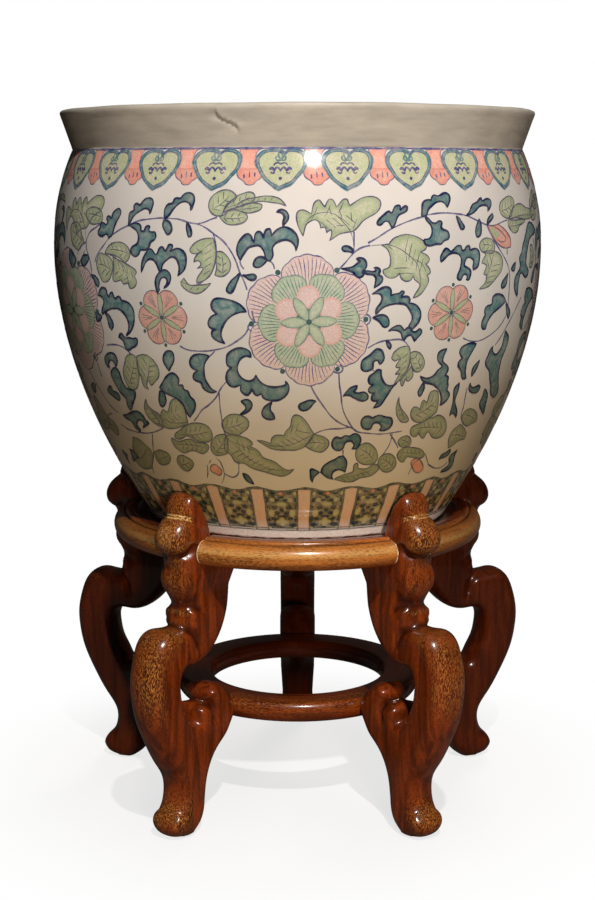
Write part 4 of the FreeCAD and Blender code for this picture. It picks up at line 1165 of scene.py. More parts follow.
# ------------------------------------------------------------------ painted flowers and leaves
def fan(centre, angle, near, shoulder, crown, half, lobes):
    """Fan-shaped petal with a lobed outer edge, in mm and degrees."""
    t = np.linspace(-1, 1, 44)
    edge = shoulder + (crown - shoulder) * np.cos(t * math.pi / 2) ** 0.7
    edge = edge + 0.9 * (np.abs(np.sin(lobes * math.pi * (t + 1) / 2)) - 0.6)
    arc = polar(centre, angle + t * half, edge)
    out = polar(centre, np.full(8, angle - half), np.linspace(near, shoulder, 9)[:-1])
    back = polar(centre, np.full(8, angle + half), np.linspace(shoulder, near, 9)[1:])
    return np.vstack([out, arc, back])


def fan_lines(centre, angle, near, shoulder, crown, half, count):
    """Fine veins that run out across a fan petal."""
    lines = []
    for t in np.linspace(-0.86, 0.86, count):
        far = shoulder + (crown - shoulder) * math.cos(t * math.pi / 2) ** 0.7 - 1.6
        start = near + 2.2 * abs(math.sin(5 * t + 1))
        r = np.linspace(start, far, 6)
        lines.append(polar(centre, angle + t * half + 1.2 * np.sin(r / 9 + t), r))
    return lines


# The drawn middle of the lotus head and of both small flowers, and how much wider than drawn the
# lotus opens on the round of the belly.
LOTUS_MIDDLE, LEFT_FLOWER, RIGHT_FLOWER = (309, 322), (162, 317.5), (451.5, 312.5)
LOTUS_SPREAD = 1.07


class JARDINIERE_OT_lotus(bpy.types.Operator):
    """Paint the five large lotus heads: two rings of fan petals round a small rosette."""

    bl_idname = "jardiniere.lotus"
    bl_label = "Lotus heads"

    def execute(self, context):
        paint = context.scene.jardiniere_paint
        centre = sight([LOTUS_MIDDLE])[0]
        k = LOTUS_SPREAD * SHEET_MM
        pink, green, lines, veins, dots, rounds = (Brush() for _ in range(6))
        for step in range(6):
            pink_at, green_at = 32 + 60 * step, 2 + 60 * step
            petal = fan(centre, pink_at, 20 * k, 50 * k, 62 * k, 29, 5)
            pink.fill(petal, 0.10, LOTUS_OFFSETS)
            lines.stroke(petal[6:-6], 1.0, 0.16, LOTUS_OFFSETS)
            for line in fan_lines(centre, pink_at, 36 * k, 50 * k, 62 * k, 27, 13):
                lines.stroke(line, 0.7, 0.15, LOTUS_OFFSETS, taper=0.7)
            petal = fan(centre, green_at, 10 * k, 38 * k, 47.5 * k, 28, 3)
            green.fill(petal, 0.18, LOTUS_OFFSETS)
            veins.stroke(petal, 0.7, 0.22, LOTUS_OFFSETS, closed=True)
            for line in fan_lines(centre, green_at, 24 * k, 38 * k, 47 * k, 26, 10):
                veins.stroke(line, 0.65, 0.22, LOTUS_OFFSETS, taper=0.6)
            place = polar(centre, [pink_at], 23.5 * k)[0]
            rounds.fill(dot(place, 11 * k), 0.26, LOTUS_OFFSETS)
            lens = drop(centre, green_at, 2 * k, 26 * k, 5 * k)
            green.fill(lens, 0.34, LOTUS_OFFSETS, spacing=3)
            veins.stroke(lens, 0.6, 0.38, LOTUS_OFFSETS, closed=True)
            dots.fill(dot(polar(centre, [green_at], 54 * k)[0], 2.5 * k), 0.30, LOTUS_OFFSETS, spacing=2)
        dots.fill(dot(centre, 2.5 * k), 0.42, LOTUS_OFFSETS, spacing=2)
        pink.piece("lotus_petals", "lotus_pink_enamel", paint.petal_pink, 0.9, thin=0.6)
        rounds.piece("lotus_rosettes", "rosette_pink_enamel", shaded(paint.petal_pink, 0.97),
                     paint.small_pink, thin=0.3, reach=3)
        green.piece("lotus_sepals", "sepal_green_enamel", paint.sepal_green, 0.75, thin=0.5)
        lines.piece("lotus_petal_lines", "violet_line_enamel", paint.vine_blue, 0.7, thin=0.4)
        veins.piece("lotus_sepal_lines", "green_line_enamel", shaded(paint.teal, 0.9),
                    shaded(paint.teal, 0.6), thin=0.4)
        dots.piece("lotus_dots", "dark_dot_enamel", shaded(paint.teal, 0.6),
                   shaded(paint.teal, 0.4), thin=0.1)
        return {"FINISHED"}


class JARDINIERE_OT_small_flowers(bpy.types.Operator):
    """Paint the small salmon flowers between the lotus heads."""

    bl_idname = "jardiniere.small_flowers"
    bl_label = "Small flowers"

    def execute(self, context):
        paint = context.scene.jardiniere_paint
        k = SHEET_MM
        petals, arms, lines, dots = (Brush() for _ in range(4))
        for place, turns in ((LEFT_FLOWER, LEFT_OFFSETS), (RIGHT_FLOWER, RIGHT_OFFSETS)):
            centre = sight([place])[0]
            for step in range(6):
                petal = drop(centre, 2 + 60 * step, 4 * k, 30 * k, 11 * k, full=0.4)
                petals.fill(petal, 0.10, turns)
                lines.stroke(petal, 0.7, 0.20, turns, closed=True)
                for swing in (-7, 0, 7):
                    r = np.linspace(12 * k, 26 * k, 7)
                    lines.stroke(polar(centre, 2 + 60 * step + swing * r / r[-1], r), 0.4, 0.2, turns)
                arm = drop(centre, 32 + 60 * step, 2 * k, 25 * k, 2.8 * k)
                arms.fill(arm, 0.26, turns, spacing=3)
                lines.stroke(arm, 0.5, 0.30, turns, closed=True)
                dots.fill(dot(polar(centre, [32 + 60 * step], 28.5 * k)[0], 1.9 * k), 0.30, turns, spacing=2)
            dots.fill(dot(centre, 2.2 * k), 0.36, turns, spacing=2)
        petals.piece("small_flower_petals", "salmon_petal_enamel", paint.small_pink, 0.8, thin=0.4)
        arms.piece("small_flower_arms", "flower_arm_enamel", paint.leaf_green, 0.8)
        lines.piece("small_flower_lines", "brown_violet_line_enamel", paint.flower_line, 0.7)
        dots.piece("small_flower_dots", "flower_dot_enamel", shaded(paint.teal, 0.6),
                   shaded(paint.teal, 0.4), thin=0.1)
        return {"FINISHED"}


STEM_RUN = 11


def leaf_veins(loop, midrib):
    """Side veins that stay inside a leaf's outline, and its midrib when none is drawn, in mm."""
    middle = loop.mean(0)
    long, wide = np.linalg.svd(loop - middle, full_matrices=False)[2]
    long, wide = long * math.copysign(1, long[1]), wide * math.copysign(1, wide[0])
    reach, girth = np.ptp((loop - middle) @ long) / 2, np.ptp((loop - middle) @ wide) / 2
    t = np.linspace(0, 1, 9)[:, None]
    lines = [middle + long * reach * (1.5 * t - 0.78) + wide * girth * 0.14 * np.sin(3 * t)] if midrib else []
    for at in np.arange(-0.7, 0.5, 5.6 / reach):
        for side in (-1, 1):
            lines.append(middle + long * (at * reach + 0.42 * girth * t ** 0.8)
                         + wide * side * girth * (0.08 + 0.52 * t))
    return [line for line in lines if inside(line, loop).all()]


class JARDINIERE_OT_scroll_leaves(bpy.types.Operator):
    """Paint the teal scroll leaves and their dark outlines."""

    bl_idname = "jardiniere.scroll_leaves"
    bl_label = "Scroll leaves"

    def execute(self, context):
        paint = context.scene.jardiniere_paint
        leaves, edges = Brush(), Brush()
        for outline in SCROLL_LEAVES:
            loop = drawn(outline)
            turns = repeats(loop)
            if turns:
                leaves.fill(loop, 0.14, turns)
                edges.stroke(loop, 1.35 * paint.line_width, 0.24, turns, closed=True)
        # low darkens these leaves low on the belly, as painted shade.
        leaves.piece("scroll_leaves", "teal_scroll_enamel", paint.teal, 0.45, thin=0.38, low=0.75)
        edges.piece("scroll_leaf_outlines", "ink_teal_line_enamel", paint.ink_teal, 0.6, thin=0.12)
        return {"FINISHED"}


class JARDINIERE_OT_pale_leaves(bpy.types.Operator):
    """Paint the pale green leaves with their grey outlines and veins."""

    bl_idname = "jardiniere.pale_leaves"
    bl_label = "Pale leaves"

    def execute(self, context):
        paint = context.scene.jardiniere_paint
        leaves, edges, buds, hearts, stems = (Brush() for _ in range(5))
        for outline, *veins in PALE_LEAVES:
            loop = drawn(outline)
            turns = repeats(loop)
            if turns:
                leaves.fill(loop, 0.10, turns)
                edges.stroke(loop, 0.8 * paint.line_width, 0.18, turns, closed=True)
                for vein in [sight(spline(vein, 1.5)) for vein in veins] + leaf_veins(loop, not veins):
                    edges.stroke(vein, 0.48 * paint.line_width, 0.18, turns)
        for outline, *strokes in BUDS:
            loop = drawn(outline)
            turns = repeats(loop)
            buds.fill(loop, 0.12, turns)
            edges.stroke(loop, 0.8 * paint.line_width, 0.2, turns, closed=True)
            for line in strokes:
                edges.stroke(sight(spline(line, 1.5)), 0.8 * paint.line_width, 0.2, turns)
        for outline in BUD_HEARTS:
            loop = drawn(outline)
            hearts.fill(loop, 0.18, repeats(loop))
        for stem in STEMS:
            line = sight(spline(stem, 1.6))
            # A stem comes back round the bowl in short runs, each with the leaves beside it.
            for start in range(0, len(line) - 1, STEM_RUN):
                run = line[start:start + STEM_RUN + 1]
                if len(run) > 1:
                    stems.stroke(run, 1.05 * paint.line_width, 0.12, repeats(run), taper=0.0)
        # low darkens these leaves low on the belly, as painted shade.
        leaves.piece("pale_leaves", "leaf_green_enamel", paint.leaf_green,
                     paint.leaf_edge, thin=0.6, reach=5, low=0.68)
        edges.piece("pale_leaf_lines", "grey_violet_line_enamel", paint.grey_line, 0.7, thin=0.2)
        buds.piece("pink_buds", "bud_pink_enamel", paint.border_pink, 0.8, thin=0.5)
        hearts.piece("bud_hearts", "bud_green_enamel", paint.leaf_green, 0.8)
        stems.piece("vine_stems", "vine_blue_enamel", paint.vine_blue, 0.7, thin=0.3)
        return {"FINISHED"}


# ------------------------------------------------------------------ hardwood
def lacquered_wood(name, settings, along_grain=True, ground=None):
    """Dense hardwood with a red-brown stain, lacquered: dark pores along the grain, golden figure where the
    stain is thin and where a painted highlight lies, painted shade where the shade attribute says, and a
    glassy coat with soft edges."""
    material, tree, place = new_material(name, along_grain)
    # The first attribute carries wear and painted highlight, the second painted shade.
    wear_and_highlight = add_node(tree, "ShaderNodeAttribute", attribute_name="wear_and_highlight").outputs["Fac"]
    shade = add_node(tree, "ShaderNodeAttribute", attribute_name="shade").outputs["Fac"]
    # Growth bands about 7 mm apart, drawn out along the grain, which is the third axis.
    long_grain = add_node(tree, "ShaderNodeMapping", {"Vector": place, "Scale": (1.0, 1.0, 0.10)})
    bands = add_node(tree, "ShaderNodeTexNoise", {
        "Vector": long_grain, "Scale": 150.0, "Detail": 3.0, "Distortion": 0.6})
    figure = add_node(tree, "ShaderNodeTexNoise", {"Vector": long_grain, "Scale": 34.0, "Detail": 2.0})
    # Pores are 0.2 mm wide and a few mm long; drawn 0.9 mm wide so that they show.
    fibre = add_node(tree, "ShaderNodeMapping", {"Vector": place, "Scale": (1.0, 1.0, 0.24)})
    pores = add_node(tree, "ShaderNodeTexNoise", {
        "Vector": fibre, "Scale": 1300.0, "Detail": 1.5, "Roughness": 0.6})
    pore_mark = add_node(tree, "ShaderNodeMapRange", {
        "Value": pores, "From Min": 0.50, "From Max": 0.66})
    streaks = add_node(tree, "ShaderNodeMapRange", {
        "Value": bands, "From Min": 0.38, "From Max": 0.64, "To Min": 0.60, "To Max": 1.50})
    rub_and_highlight = add_node(tree, "ShaderNodeMath", {0: wear_and_highlight, 1: figure}, operation="MULTIPLY")
    rubbed_and_highlit = add_node(tree, "ShaderNodeMapRange", {
        "Value": rub_and_highlight, "From Min": 0.16, "From Max": 0.48})
    brown = add_node(tree, "ShaderNodeMix", {
        "Factor": rubbed_and_highlit, "A": settings.wood_mid,
        "B": ground or settings.wood_brown}, **BLEND)
    streaked = add_node(tree, "ShaderNodeMix", {
        "Factor": 1.0, "A": brown, "B": streaks},
        **MULTIPLY)
    # The stain is rubbed off the raised fibres only, so the places of wear and of painted highlight are
    # flecked with gold.
    fleck = add_node(tree, "ShaderNodeMapRange", {
        "Value": pores, "From Min": 0.41, "From Max": 0.49, "To Min": 1.0, "To Max": 0.06})
    bare_and_highlit = add_node(tree, "ShaderNodeMath", {0: rubbed_and_highlit, 1: fleck},
                    operation="MULTIPLY")
    gold = add_node(tree, "ShaderNodeMix", {
        "Factor": bare_and_highlit, "A": streaked, "B": settings.wood_gold_and_highlight},
        **BLEND)
    # Lighter still where the lacquer is chipped to bare wood, and on the painted highlights along the rails'
    # nose and the legs' crest.
    chips_and_highlights = add_node(tree, "ShaderNodeMapRange", {"Value": wear_and_highlight, "From Min": 1.1, "From Max": 1.7})
    bare_wood_and_highlight = add_node(tree, "ShaderNodeMix", {
        "Factor": chips_and_highlights, "A": gold, "B": linear("#D9AE6A")}, **BLEND)
    # Painted shade: darker where the shade attribute lies, in recesses, under the panel and on the pieces at
    # the sides and back.
    with_painted_shade = add_node(tree, "ShaderNodeMix", {
        "Factor": shade, "A": bare_wood_and_highlight, "B": settings.wood_pores_and_shade}, **BLEND)
    strength = add_node(tree, "ShaderNodeMath", {0: pore_mark, 1: 0.5}, operation="MULTIPLY")
    pored = add_node(tree, "ShaderNodeMix", {
        "Factor": strength, "A": with_painted_shade, "B": settings.wood_pores_and_shade},
        **BLEND)
    smear = add_node(tree, "ShaderNodeTexNoise", {"Vector": place, "Scale": 45.0, "Detail": 2.0})
    rough = add_node(tree, "ShaderNodeMapRange", {"Value": smear, "To Min": 0.26, "To Max": 0.46})
    bump = add_node(tree, "ShaderNodeBump", {
        "Height": pores, "Strength": 0.12, "Distance": 0.0003})
    shader = add_node(tree, "ShaderNodeBsdfPrincipled", {
        "Base Color": pored, "Roughness": rough, "IOR": 1.5,
        "Specular IOR Level": 0.18, "Coat Weight": 0.9, "Coat Roughness": 0.19, "Coat IOR": 1.5,
        "Normal": bump})
    add_node(tree, "ShaderNodeOutputMaterial", {"Surface": shader})
    return material


# The legs stand a fifth of a turn apart, and a rail lies midway between two of them.
LEG_STEP = 72
FIRST_LEG, FIRST_RAIL = -54, -90

# Leg outline in its own plane: radius from the bowl's axis and height, drawn from the top of
# the horn's face down the outer side to the sole, then up the inner side to the panel's ledge.
LEG_OUTER = [
    (153.5, 275), (157.7, 289), (164.5, 301), (167.5, 310), (173.5, 314.4), (180, 310), (183.4, 303),
    (186, 296), (191.4, 291), (198.6, 282), (200.4, 274), (197.6, 265.4), (191.2, 257.4), (187.5, 248),
    (189.5, 237), (187.5, 226), (183.5, 212), (183, 203), (187.5, 197), (197.5, 196), (208.5, 197),
    (220, 191), (228.5, 175), (233, 153), (232.2, 136), (228, 116), (217, 91), (203, 67), (193, 50),
    (193, 38), (198, 27), (205, 19.5), (207, 12.5), (202, 4), (191.5, 0)]
LEG_INNER = [
    (176.5, 0), (166, 8), (159.5, 22), (157.5, 41), (153, 58), (142.5, 71), (130.5, 80), (122, 91),
    (116.5, 103), (118.5, 113), (125, 123), (135, 131), (147, 133.5), (156.5, 128), (159.5, 120),
    (165.5, 118.5), (171, 113), (173, 105.5), (176, 104.5), (182.5, 112.5), (189, 125), (192.5, 140),
    (191.5, 152), (187.5, 156.5), (174.5, 157), (162, 159), (149.5, 166.5), (137.5, 179), (129, 194),
    (123, 214), (119.5, 236), (118.5, 250)]
LEG_LEDGE = [(118.5, 259), (153.5, 259)]
HALF_BOARD = 19.0
# How much wear and painted highlight each leg shows: most on the front ones, which face the lamps, and the
# left front one is the palest; least on the back one.
LEG_WEAR_AND_HIGHLIGHT = {"leg_1": 0.85, "leg_2": 0.35, "leg_3": 0.2, "leg_4": 0.35, "leg_5": 1.0}
# Painted shade over each piece as a whole: those at the sides and back are painted darker, away from the
# front lamps.
RING_PAINTED_SHADE = (0.0, 0.45, 0.75, 0.75, 0.45)
RAIL_PAINTED_SHADE = (0.0, 0.42, 0.6, 0.6, 0.42)
LEG_PAINTED_SHADE = {"leg_1": 0.0, "leg_2": 0.7, "leg_3": 0.85, "leg_4": 0.7, "leg_5": 0.0}
# Round forms carved in the solid of the leg: middle, half width and height, half thickness.
LEG_SWELLS = [
    ((186, 277.8), (14.0, 13.6), 14.2), ((180, 238), (15, 18), 17.4), ((177, 204.5), (10, 8.5), 17.8),
    ((163.5, 109.5), (12, 12), 17.5), ((150, 126), (12, 9.5), 18.2), ((171, 301), (16, 18), 14.6),
    ((196, 16), (13.5, 12), 17.0)]
# Gouged creases: points along each, how wide and how deep it is.
LEG_CREASES = [
    ([(191, 296), (185, 294.5), (178, 292), (173, 287)], 2.4, 3.4),
    ([(204, 265), (194, 260.5), (185, 261), (177, 267)], 4.2, 7.0),
    ([(193, 221), (185, 218), (175, 219)], 5.5, 3.5),
    ([(190, 197), (183, 193), (177, 187), (174, 178)], 3.6, 6.0),
    ([(184, 214), (177, 213), (170, 209)], 3.6, 3.5),
    ([(162, 122.5), (156, 119), (151, 112), (152, 103)], 3.8, 7.5)]

# Half thickness of the leg up its height, outside the rail and where the rails meet it.
CARVED_HALF = ([0, 30, 60, 150, 205, 222, 240, 262, 279, 300, 310, 317],
               [17.5, 16.5, 18.2, 19, 18.2, 16.6, 17.0, 16.4, 16.6, 15.0, 13, 11])
JOINED_HALF = ([275, 300, 310, 317], [HALF_BOARD, 17, 14.5, 12])
# How much a hand rubs the leg up its height, together with painted highlight where the light falls, and the
# radius that both start at.
HANDLED_AND_LIT = ([0, 10, 20, 34, 48, 90, 116, 145, 190, 204, 250, 262, 317],
           [0.20, 0.35, 0.8, 0.45, 0.12, 0.12, 0.50, 0.95, 1.05, 0.6, 0.8, 1.1, 1.2])
RUBBED_AND_LIT_FROM = ([0, 60, 110, 160, 200, 260, 317], [176, 172, 190, 205, 176, 176, 168])


def leg_flat():
    """The leg's outline, which of its points are on a sawn rather than a carved edge, and its sole."""
    outer, inner = spline(LEG_OUTER, 1.15), spline(LEG_INNER, 1.15)
    sole = spline([LEG_OUTER[-1], LEG_INNER[0]], 1.5)[1:-1]
    top = np.vstack([
        spline([LEG_INNER[-1], LEG_LEDGE[0]], 1.5)[1:], spline(LEG_LEDGE, 1.5)[1:],
        spline([LEG_LEDGE[1], LEG_OUTER[0]], 1.5)[1:-1]])
    loop = np.vstack([outer, sole, inner, top])
    flat = np.r_[np.zeros(len(outer) + len(sole) + len(inner), bool), np.ones(len(top), bool)]
    return loop, flat, (outer, inner), np.vstack([outer[-1:], sole, inner[:1]])


def leg_thickness(points, sides, sole, edge_round):
    """Half thickness of the carved leg over its flat outline, in millimetres."""
    gap = np.minimum.reduce([distance_to(points, sides[0])[0], distance_to(points, sides[1])[0],
                             1.8 * distance_to(points, sole)[0]])
    x, z = points[:, 0], points[:, 1]
    board = np.interp(z, *CARVED_HALF)
    in_rail = np.clip((180 - x) / 8, 0, 1) * np.clip((z - 225) / 15, 0, 1) * np.clip((316 - z) / 14, 0, 1)
    board = board + (np.interp(z, *JOINED_HALF) - board) * in_rail
    width = edge_round - (edge_round - 5.0) * in_rail - 3.0 * np.clip((z - 282) / 15, 0, 1)
    share = np.clip(gap / width, 0, 1)
    thick = board * (1 - (1 - share) ** 2.3) ** (1 / 2.3)
    for (mx, mz), (rx, rz), half in LEG_SWELLS:
        ball = half * np.sqrt(np.clip(1 - ((x - mx) / rx) ** 2 - ((z - mz) / rz) ** 2, 0, None))
        ball = np.minimum(ball, half * (1 - (1 - np.clip(gap / 6, 0, 1)) ** 2) ** 0.5)
        soft = np.clip(0.5 + (ball - thick) / 6, 0, 1)
        thick = thick + (ball - thick) * soft + 1.5 * soft * (1 - soft)
    for line, wide, deep in LEG_CREASES:
        way = spline(line, 1.0)
        away, where = distance_to(points, way)
        fade = np.sin(math.pi * np.clip((where + 2) / (len(way) + 3), 0, 1)) ** 0.5
        thick = thick - deep * fade * np.exp(-(away / wide) ** 2) * np.clip(thick / 8, 0, 1)
    return np.clip(thick, 0, HALF_BOARD), gap


def carved_leg(edge_round):
    """One leg standing to the right in its own plane: vertices, faces and wear, in millimetres."""
    loop, flat, sides, sole = leg_flat()
    points, triangles, _ = flat_fill(loop, 1.7, rings=(0.12, 0.5, 1.2, 2.3))
    thick, gap = leg_thickness(points, sides, sole, edge_round)
    on_edge = gap < 1e-4
    thick[on_edge] = 0
    count = len(points)
    twin = np.where(on_edge, np.arange(count), np.arange(count) + count)
    vertices = np.vstack([np.stack([points[:, 0], side * thick, points[:, 1]], 1) for side in (1, -1)])
    faces = [tuple(t[::-1]) for t in triangles] + [tuple(twin[t]) for t in triangles]
    for i in range(len(loop)):
        j = (i + 1) % len(loop)
        quad = tuple(dict.fromkeys((i, j, int(twin[j]), int(twin[i]))))
        if (flat[i] or flat[j]) and len(quad) > 2:
            faces.append(quad)
    used = np.zeros(2 * count, bool)
    used[np.concatenate(faces)] = True
    fresh = np.cumsum(used) - 1
    faces = [tuple(fresh[list(face)].tolist()) for face in faces]
    vertices = vertices[used]
    depth = np.r_[gap, gap][used]
    # Wear where hands reach, and painted highlight where the light falls: outer swells, horn, knob, knee,
    # hook and toe.
    x, z = vertices[:, 0], vertices[:, 2]
    outward = np.clip((x - np.interp(z, *RUBBED_AND_LIT_FROM)) / 24, 0, 1)
    near_edge = np.clip(1 - depth / 14, 0, 1)
    wear_and_highlight = np.clip(0.20 + 0.86 * np.interp(z, *HANDLED_AND_LIT) * outward * (0.55 + 0.45 * near_edge), 0, 1.3)
    # A bright crest between the bead and the knee: chipped lacquer and painted highlight.
    wear_and_highlight = np.maximum(wear_and_highlight, 1.35 * np.exp(-((z - 207) / 3.4) ** 2) * np.clip((x - 179) / 5, 0, 1))
    # Painted shade on the inner upper part of the leg, under the panel, and in the gouged creases.
    under = np.clip((150 - x) / 40, 0, 1) * np.clip((z - 120) / 40, 0, 1)
    shade = np.clip(0.75 * under, 0, 0.85)
    for line, wide, _ in LEG_CREASES[1:]:
        away, _ = distance_to(vertices[:, [0, 2]], spline(line, 2.0))
        shade = np.maximum(shade, 0.8 * np.exp(-(away / (wide * 0.9)) ** 2))
    # The lacquer is chipped to bare wood along the crease under the horn.
    away, _ = distance_to(vertices[:, [0, 2]], spline(LEG_CREASES[0][0], 2.0))
    wear_and_highlight = np.maximum(wear_and_highlight, 1.9 * np.exp(-((away - 1.2) / 1.0) ** 2) * (x > 176))
    return vertices, faces, wear_and_highlight, shade


def leg_turns():
    """Azimuth of each leg node, read from where its solid stands."""
    turns = {}
    for name in sorted(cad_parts):
        if name.startswith("leg_"):
            middle = sum(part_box(name), Vector())
            step = round((math.degrees(math.atan2(middle.y, middle.x)) - FIRST_LEG) / LEG_STEP)
            turns[name] = FIRST_LEG + step * LEG_STEP
    return turns


def spin(vertices, degrees):
    """Vertices turned about the upright axis."""
    a = math.radians(degrees)
    turn = np.array([[math.cos(a), -math.sin(a), 0], [math.sin(a), math.cos(a), 0], [0, 0, 1]])
    return vertices @ turn.T


class JARDINIERE_OT_legs(bpy.types.Operator):
    """Carve the five legs with their horns, knobs, knees, hooks and feet."""

    bl_idname = "jardiniere.legs"
    bl_label = "Legs"

    def execute(self, context):
        settings = context.scene.jardiniere_stand
        wood = lacquered_wood("stained_lacquered_hardwood", settings)
        vertices, faces, wear_and_highlight, shade = carved_leg(settings.edge_round)
        for k, (name, turn) in enumerate(leg_turns().items()):
            grain = vertices[:, [1, 0, 2]] * MM + np.array([0.3, 0.17, 0.55]) * (k + 1)
            # Wear and painted highlight are scaled for each leg, and painted shade is laid over the legs at
            # the sides and back.
            looks = {"grain": grain, "wear_and_highlight": wear_and_highlight * LEG_WEAR_AND_HIGHLIGHT[name],
                     "shade": np.maximum(shade, LEG_PAINTED_SHADE[name])}
            leg = make_piece("carved_" + name, spin(vertices, turn) * MM, faces, [wood], "stand",
                             looks, sharp=48)
            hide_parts(name)
        return {"FINISHED"}


# Steps along each curved length, and the sections' heights and radii, as the solids have them.
LENGTH_STEPS = 60
RAIL_LOW, RAIL_HIGH, RAIL_TOP = 250, 272, 275
NOSE_R, NOSE_SWELL = 168, 9.5
REBATE_R, LEDGE_R = 153.5, 138
RING_LOW, RING_HIGH = 93.1, 111.6
RING_OUTER, RING_SWELL = 112.5, 6.0
RING_MIRROR = 201.3             # the ring's inner radius and its outer one together


def ring_length(section, middle, setback):
    """A section of (radius, height) points carried round the axis between two leg faces and closed at
    its ends: vertices, faces, grain, and each vertex's radius and height, in millimetres."""
    section = np.array(section, float)
    count = len(section)
    r, z = (np.repeat(section[None, :, k], LENGTH_STEPS, 0) for k in (0, 1))
    ends = np.radians(LEG_STEP / 2 - np.degrees(np.arcsin(np.clip(setback / section[:, 0], -1, 1))))
    swing = np.linspace(-1, 1, LENGTH_STEPS)[:, None] * ends
    a = math.radians(middle) + swing
    points = np.stack([r * np.cos(a), r * np.sin(a), z], -1).reshape(-1, 3)
    grain = np.stack([r, z, swing * r], -1).reshape(-1, 3)
    faces = [tuple(face[::-1]) for face in grid_faces(LENGTH_STEPS, count)]
    faces.append(tuple(range(count)))
    faces.append(tuple(range((LENGTH_STEPS - 1) * count, LENGTH_STEPS * count))[::-1])
    return points, faces, grain, r.ravel(), z.ravel()


def round_nose(low, high, middle, swell, steps=14):
    """Points of a half-round nose between two heights at one radius."""
    a = np.linspace(-math.pi / 2, math.pi / 2, steps)
    half = (high - low) / 2
    return [(middle + swell * math.cos(t), (low + high) / 2 + half * math.sin(t)) for t in a]


class JARDINIERE_OT_apron(bpy.types.Operator):
    """Run the five apron rails with their round nose, groove and bead."""

    bl_idname = "jardiniere.apron"
    bl_label = "Apron rails"

    def execute(self, context):
        settings = context.scene.jardiniere_stand
        # The rails' lighter ground is partly painted reflection of the bowl and lamp above.
        wood = lacquered_wood("stained_lacquered_rail", settings, ground=settings.rail_ground_and_reflection)
        groove = [(NOSE_R, 271.4), (167.4, 270.5), (166.6, 270.5), (166.5, 271.2)]
        quarter = np.linspace(0, math.pi / 2, 7)
        bead = [(163.5 + 3 * math.cos(t), RAIL_HIGH + 3 * math.sin(t)) for t in quarter]
        flat = [(160.5, RAIL_TOP), (159.9, 274.3), (159.2, 274.3), (158.6, RAIL_TOP), (154.2, RAIL_TOP)]
        inner = [(REBATE_R, 274.3), (REBATE_R, 259), (138.6, 259), (LEDGE_R, 258.4), (LEDGE_R, 250.6),
                 (138.6, RAIL_LOW)]
        section = round_nose(RAIL_LOW, RAIL_HIGH, NOSE_R, NOSE_SWELL) + groove + bead + flat + inner
        for k in range(5):
            points, faces, grain, radius, height = ring_length(
                section, FIRST_RAIL + LEG_STEP * k, HALF_BOARD - 0.05)
            # Wear and painted highlight on the nose's outer upper face, and a painted highlight band along
            # the nose.
            wear_and_highlight = 0.35 + 0.75 * np.clip((radius - 160) / 14, 0, 1) * np.clip((height - 248) / 16, 0, 1)
            wear_and_highlight += 0.28 * np.exp(-((height - 265) / 3.2) ** 2) * (radius > 170)
            # Painted shade in the groove and on the ledge that the panel hides.
            shade = 0.8 * np.clip(1 - np.hypot(radius - 167, (height - 271) * 1.4) / 2.6, 0, 1)
            shade = np.maximum(shade, 0.85 * np.clip((156 - radius) / 10, 0, 1) * (height < 262))
            shade = np.maximum(shade, RAIL_PAINTED_SHADE[k])
            looks = {"grain": grain * MM + 0.21 * k, "wear_and_highlight": wear_and_highlight, "shade": shade}
            rail = make_piece("moulded_rail_%d" % (k + 1), points * MM, faces, [wood], "stand",
                              looks, sharp=38)
            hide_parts("apron_rail_%d" % (k + 1))
        return {"FINISHED"}


class JARDINIERE_OT_stretcher(bpy.types.Operator):
    """Run the low ring that ties the five hooks together."""

    bl_idname = "jardiniere.stretcher"
    bl_label = "Stretcher ring"

    def execute(self, context):
        settings = context.scene.jardiniere_stand
        wood = lacquered_wood("stained_lacquered_ring", settings)
        outer = round_nose(RING_LOW, RING_HIGH, RING_OUTER, RING_SWELL, 12)
        section = outer + [(RING_MIRROR - r, z) for r, z in outer[::-1]]
        for k in range(5):
            points, faces, grain, radius, height = ring_length(section, FIRST_RAIL + LEG_STEP * k, 0)
            # Wear and painted highlight on the outer upper face; painted shade on the inner side and over the
            # lengths at the sides and back.
            wear_and_highlight = 0.22 + 0.4 * np.clip((radius - 96) / 20, 0, 1) * np.clip((height - 96) / 12, 0, 1)
            shade = np.maximum(0.35 * np.clip((104 - radius) / 18, 0, 1), RING_PAINTED_SHADE[k])
            looks = {"grain": grain * MM + 0.33 * k, "wear_and_highlight": wear_and_highlight, "shade": shade}
            ring = make_piece("stretcher_length_%d" % (k + 1), points * MM, faces, [wood],
                              "stand", looks, sharp=38)
            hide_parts("stretcher_%d" % (k + 1))
        return {"FINISHED"}


def hide_glue():
    """Dried hide glue in a joint: pale, slightly waxy, broken along its length."""
    material, tree, place = new_material("dried_hide_glue")
    lumps = add_node(tree, "ShaderNodeTexNoise", {"Vector": place, "Scale": 300.0, "Detail": 3.0})
    tone = add_node(tree, "ShaderNodeValToRGB", {"Fac": lumps}, stops=[
        (0.35, linear("#8A5A30")), (0.55, linear("#D9B98C")), (0.75, linear("#E9D6B8"))])
    bump = add_node(tree, "ShaderNodeBump", {"Height": lumps, "Strength": 0.5, "Distance": 0.0004})
    shader = add_node(tree, "ShaderNodeBsdfPrincipled", {
        "Base Color": tone, "Roughness": 0.5, "IOR": 1.5, "Normal": bump})
    add_node(tree, "ShaderNodeOutputMaterial", {"Surface": shader})
    return material


GLUE_STEPS = 40


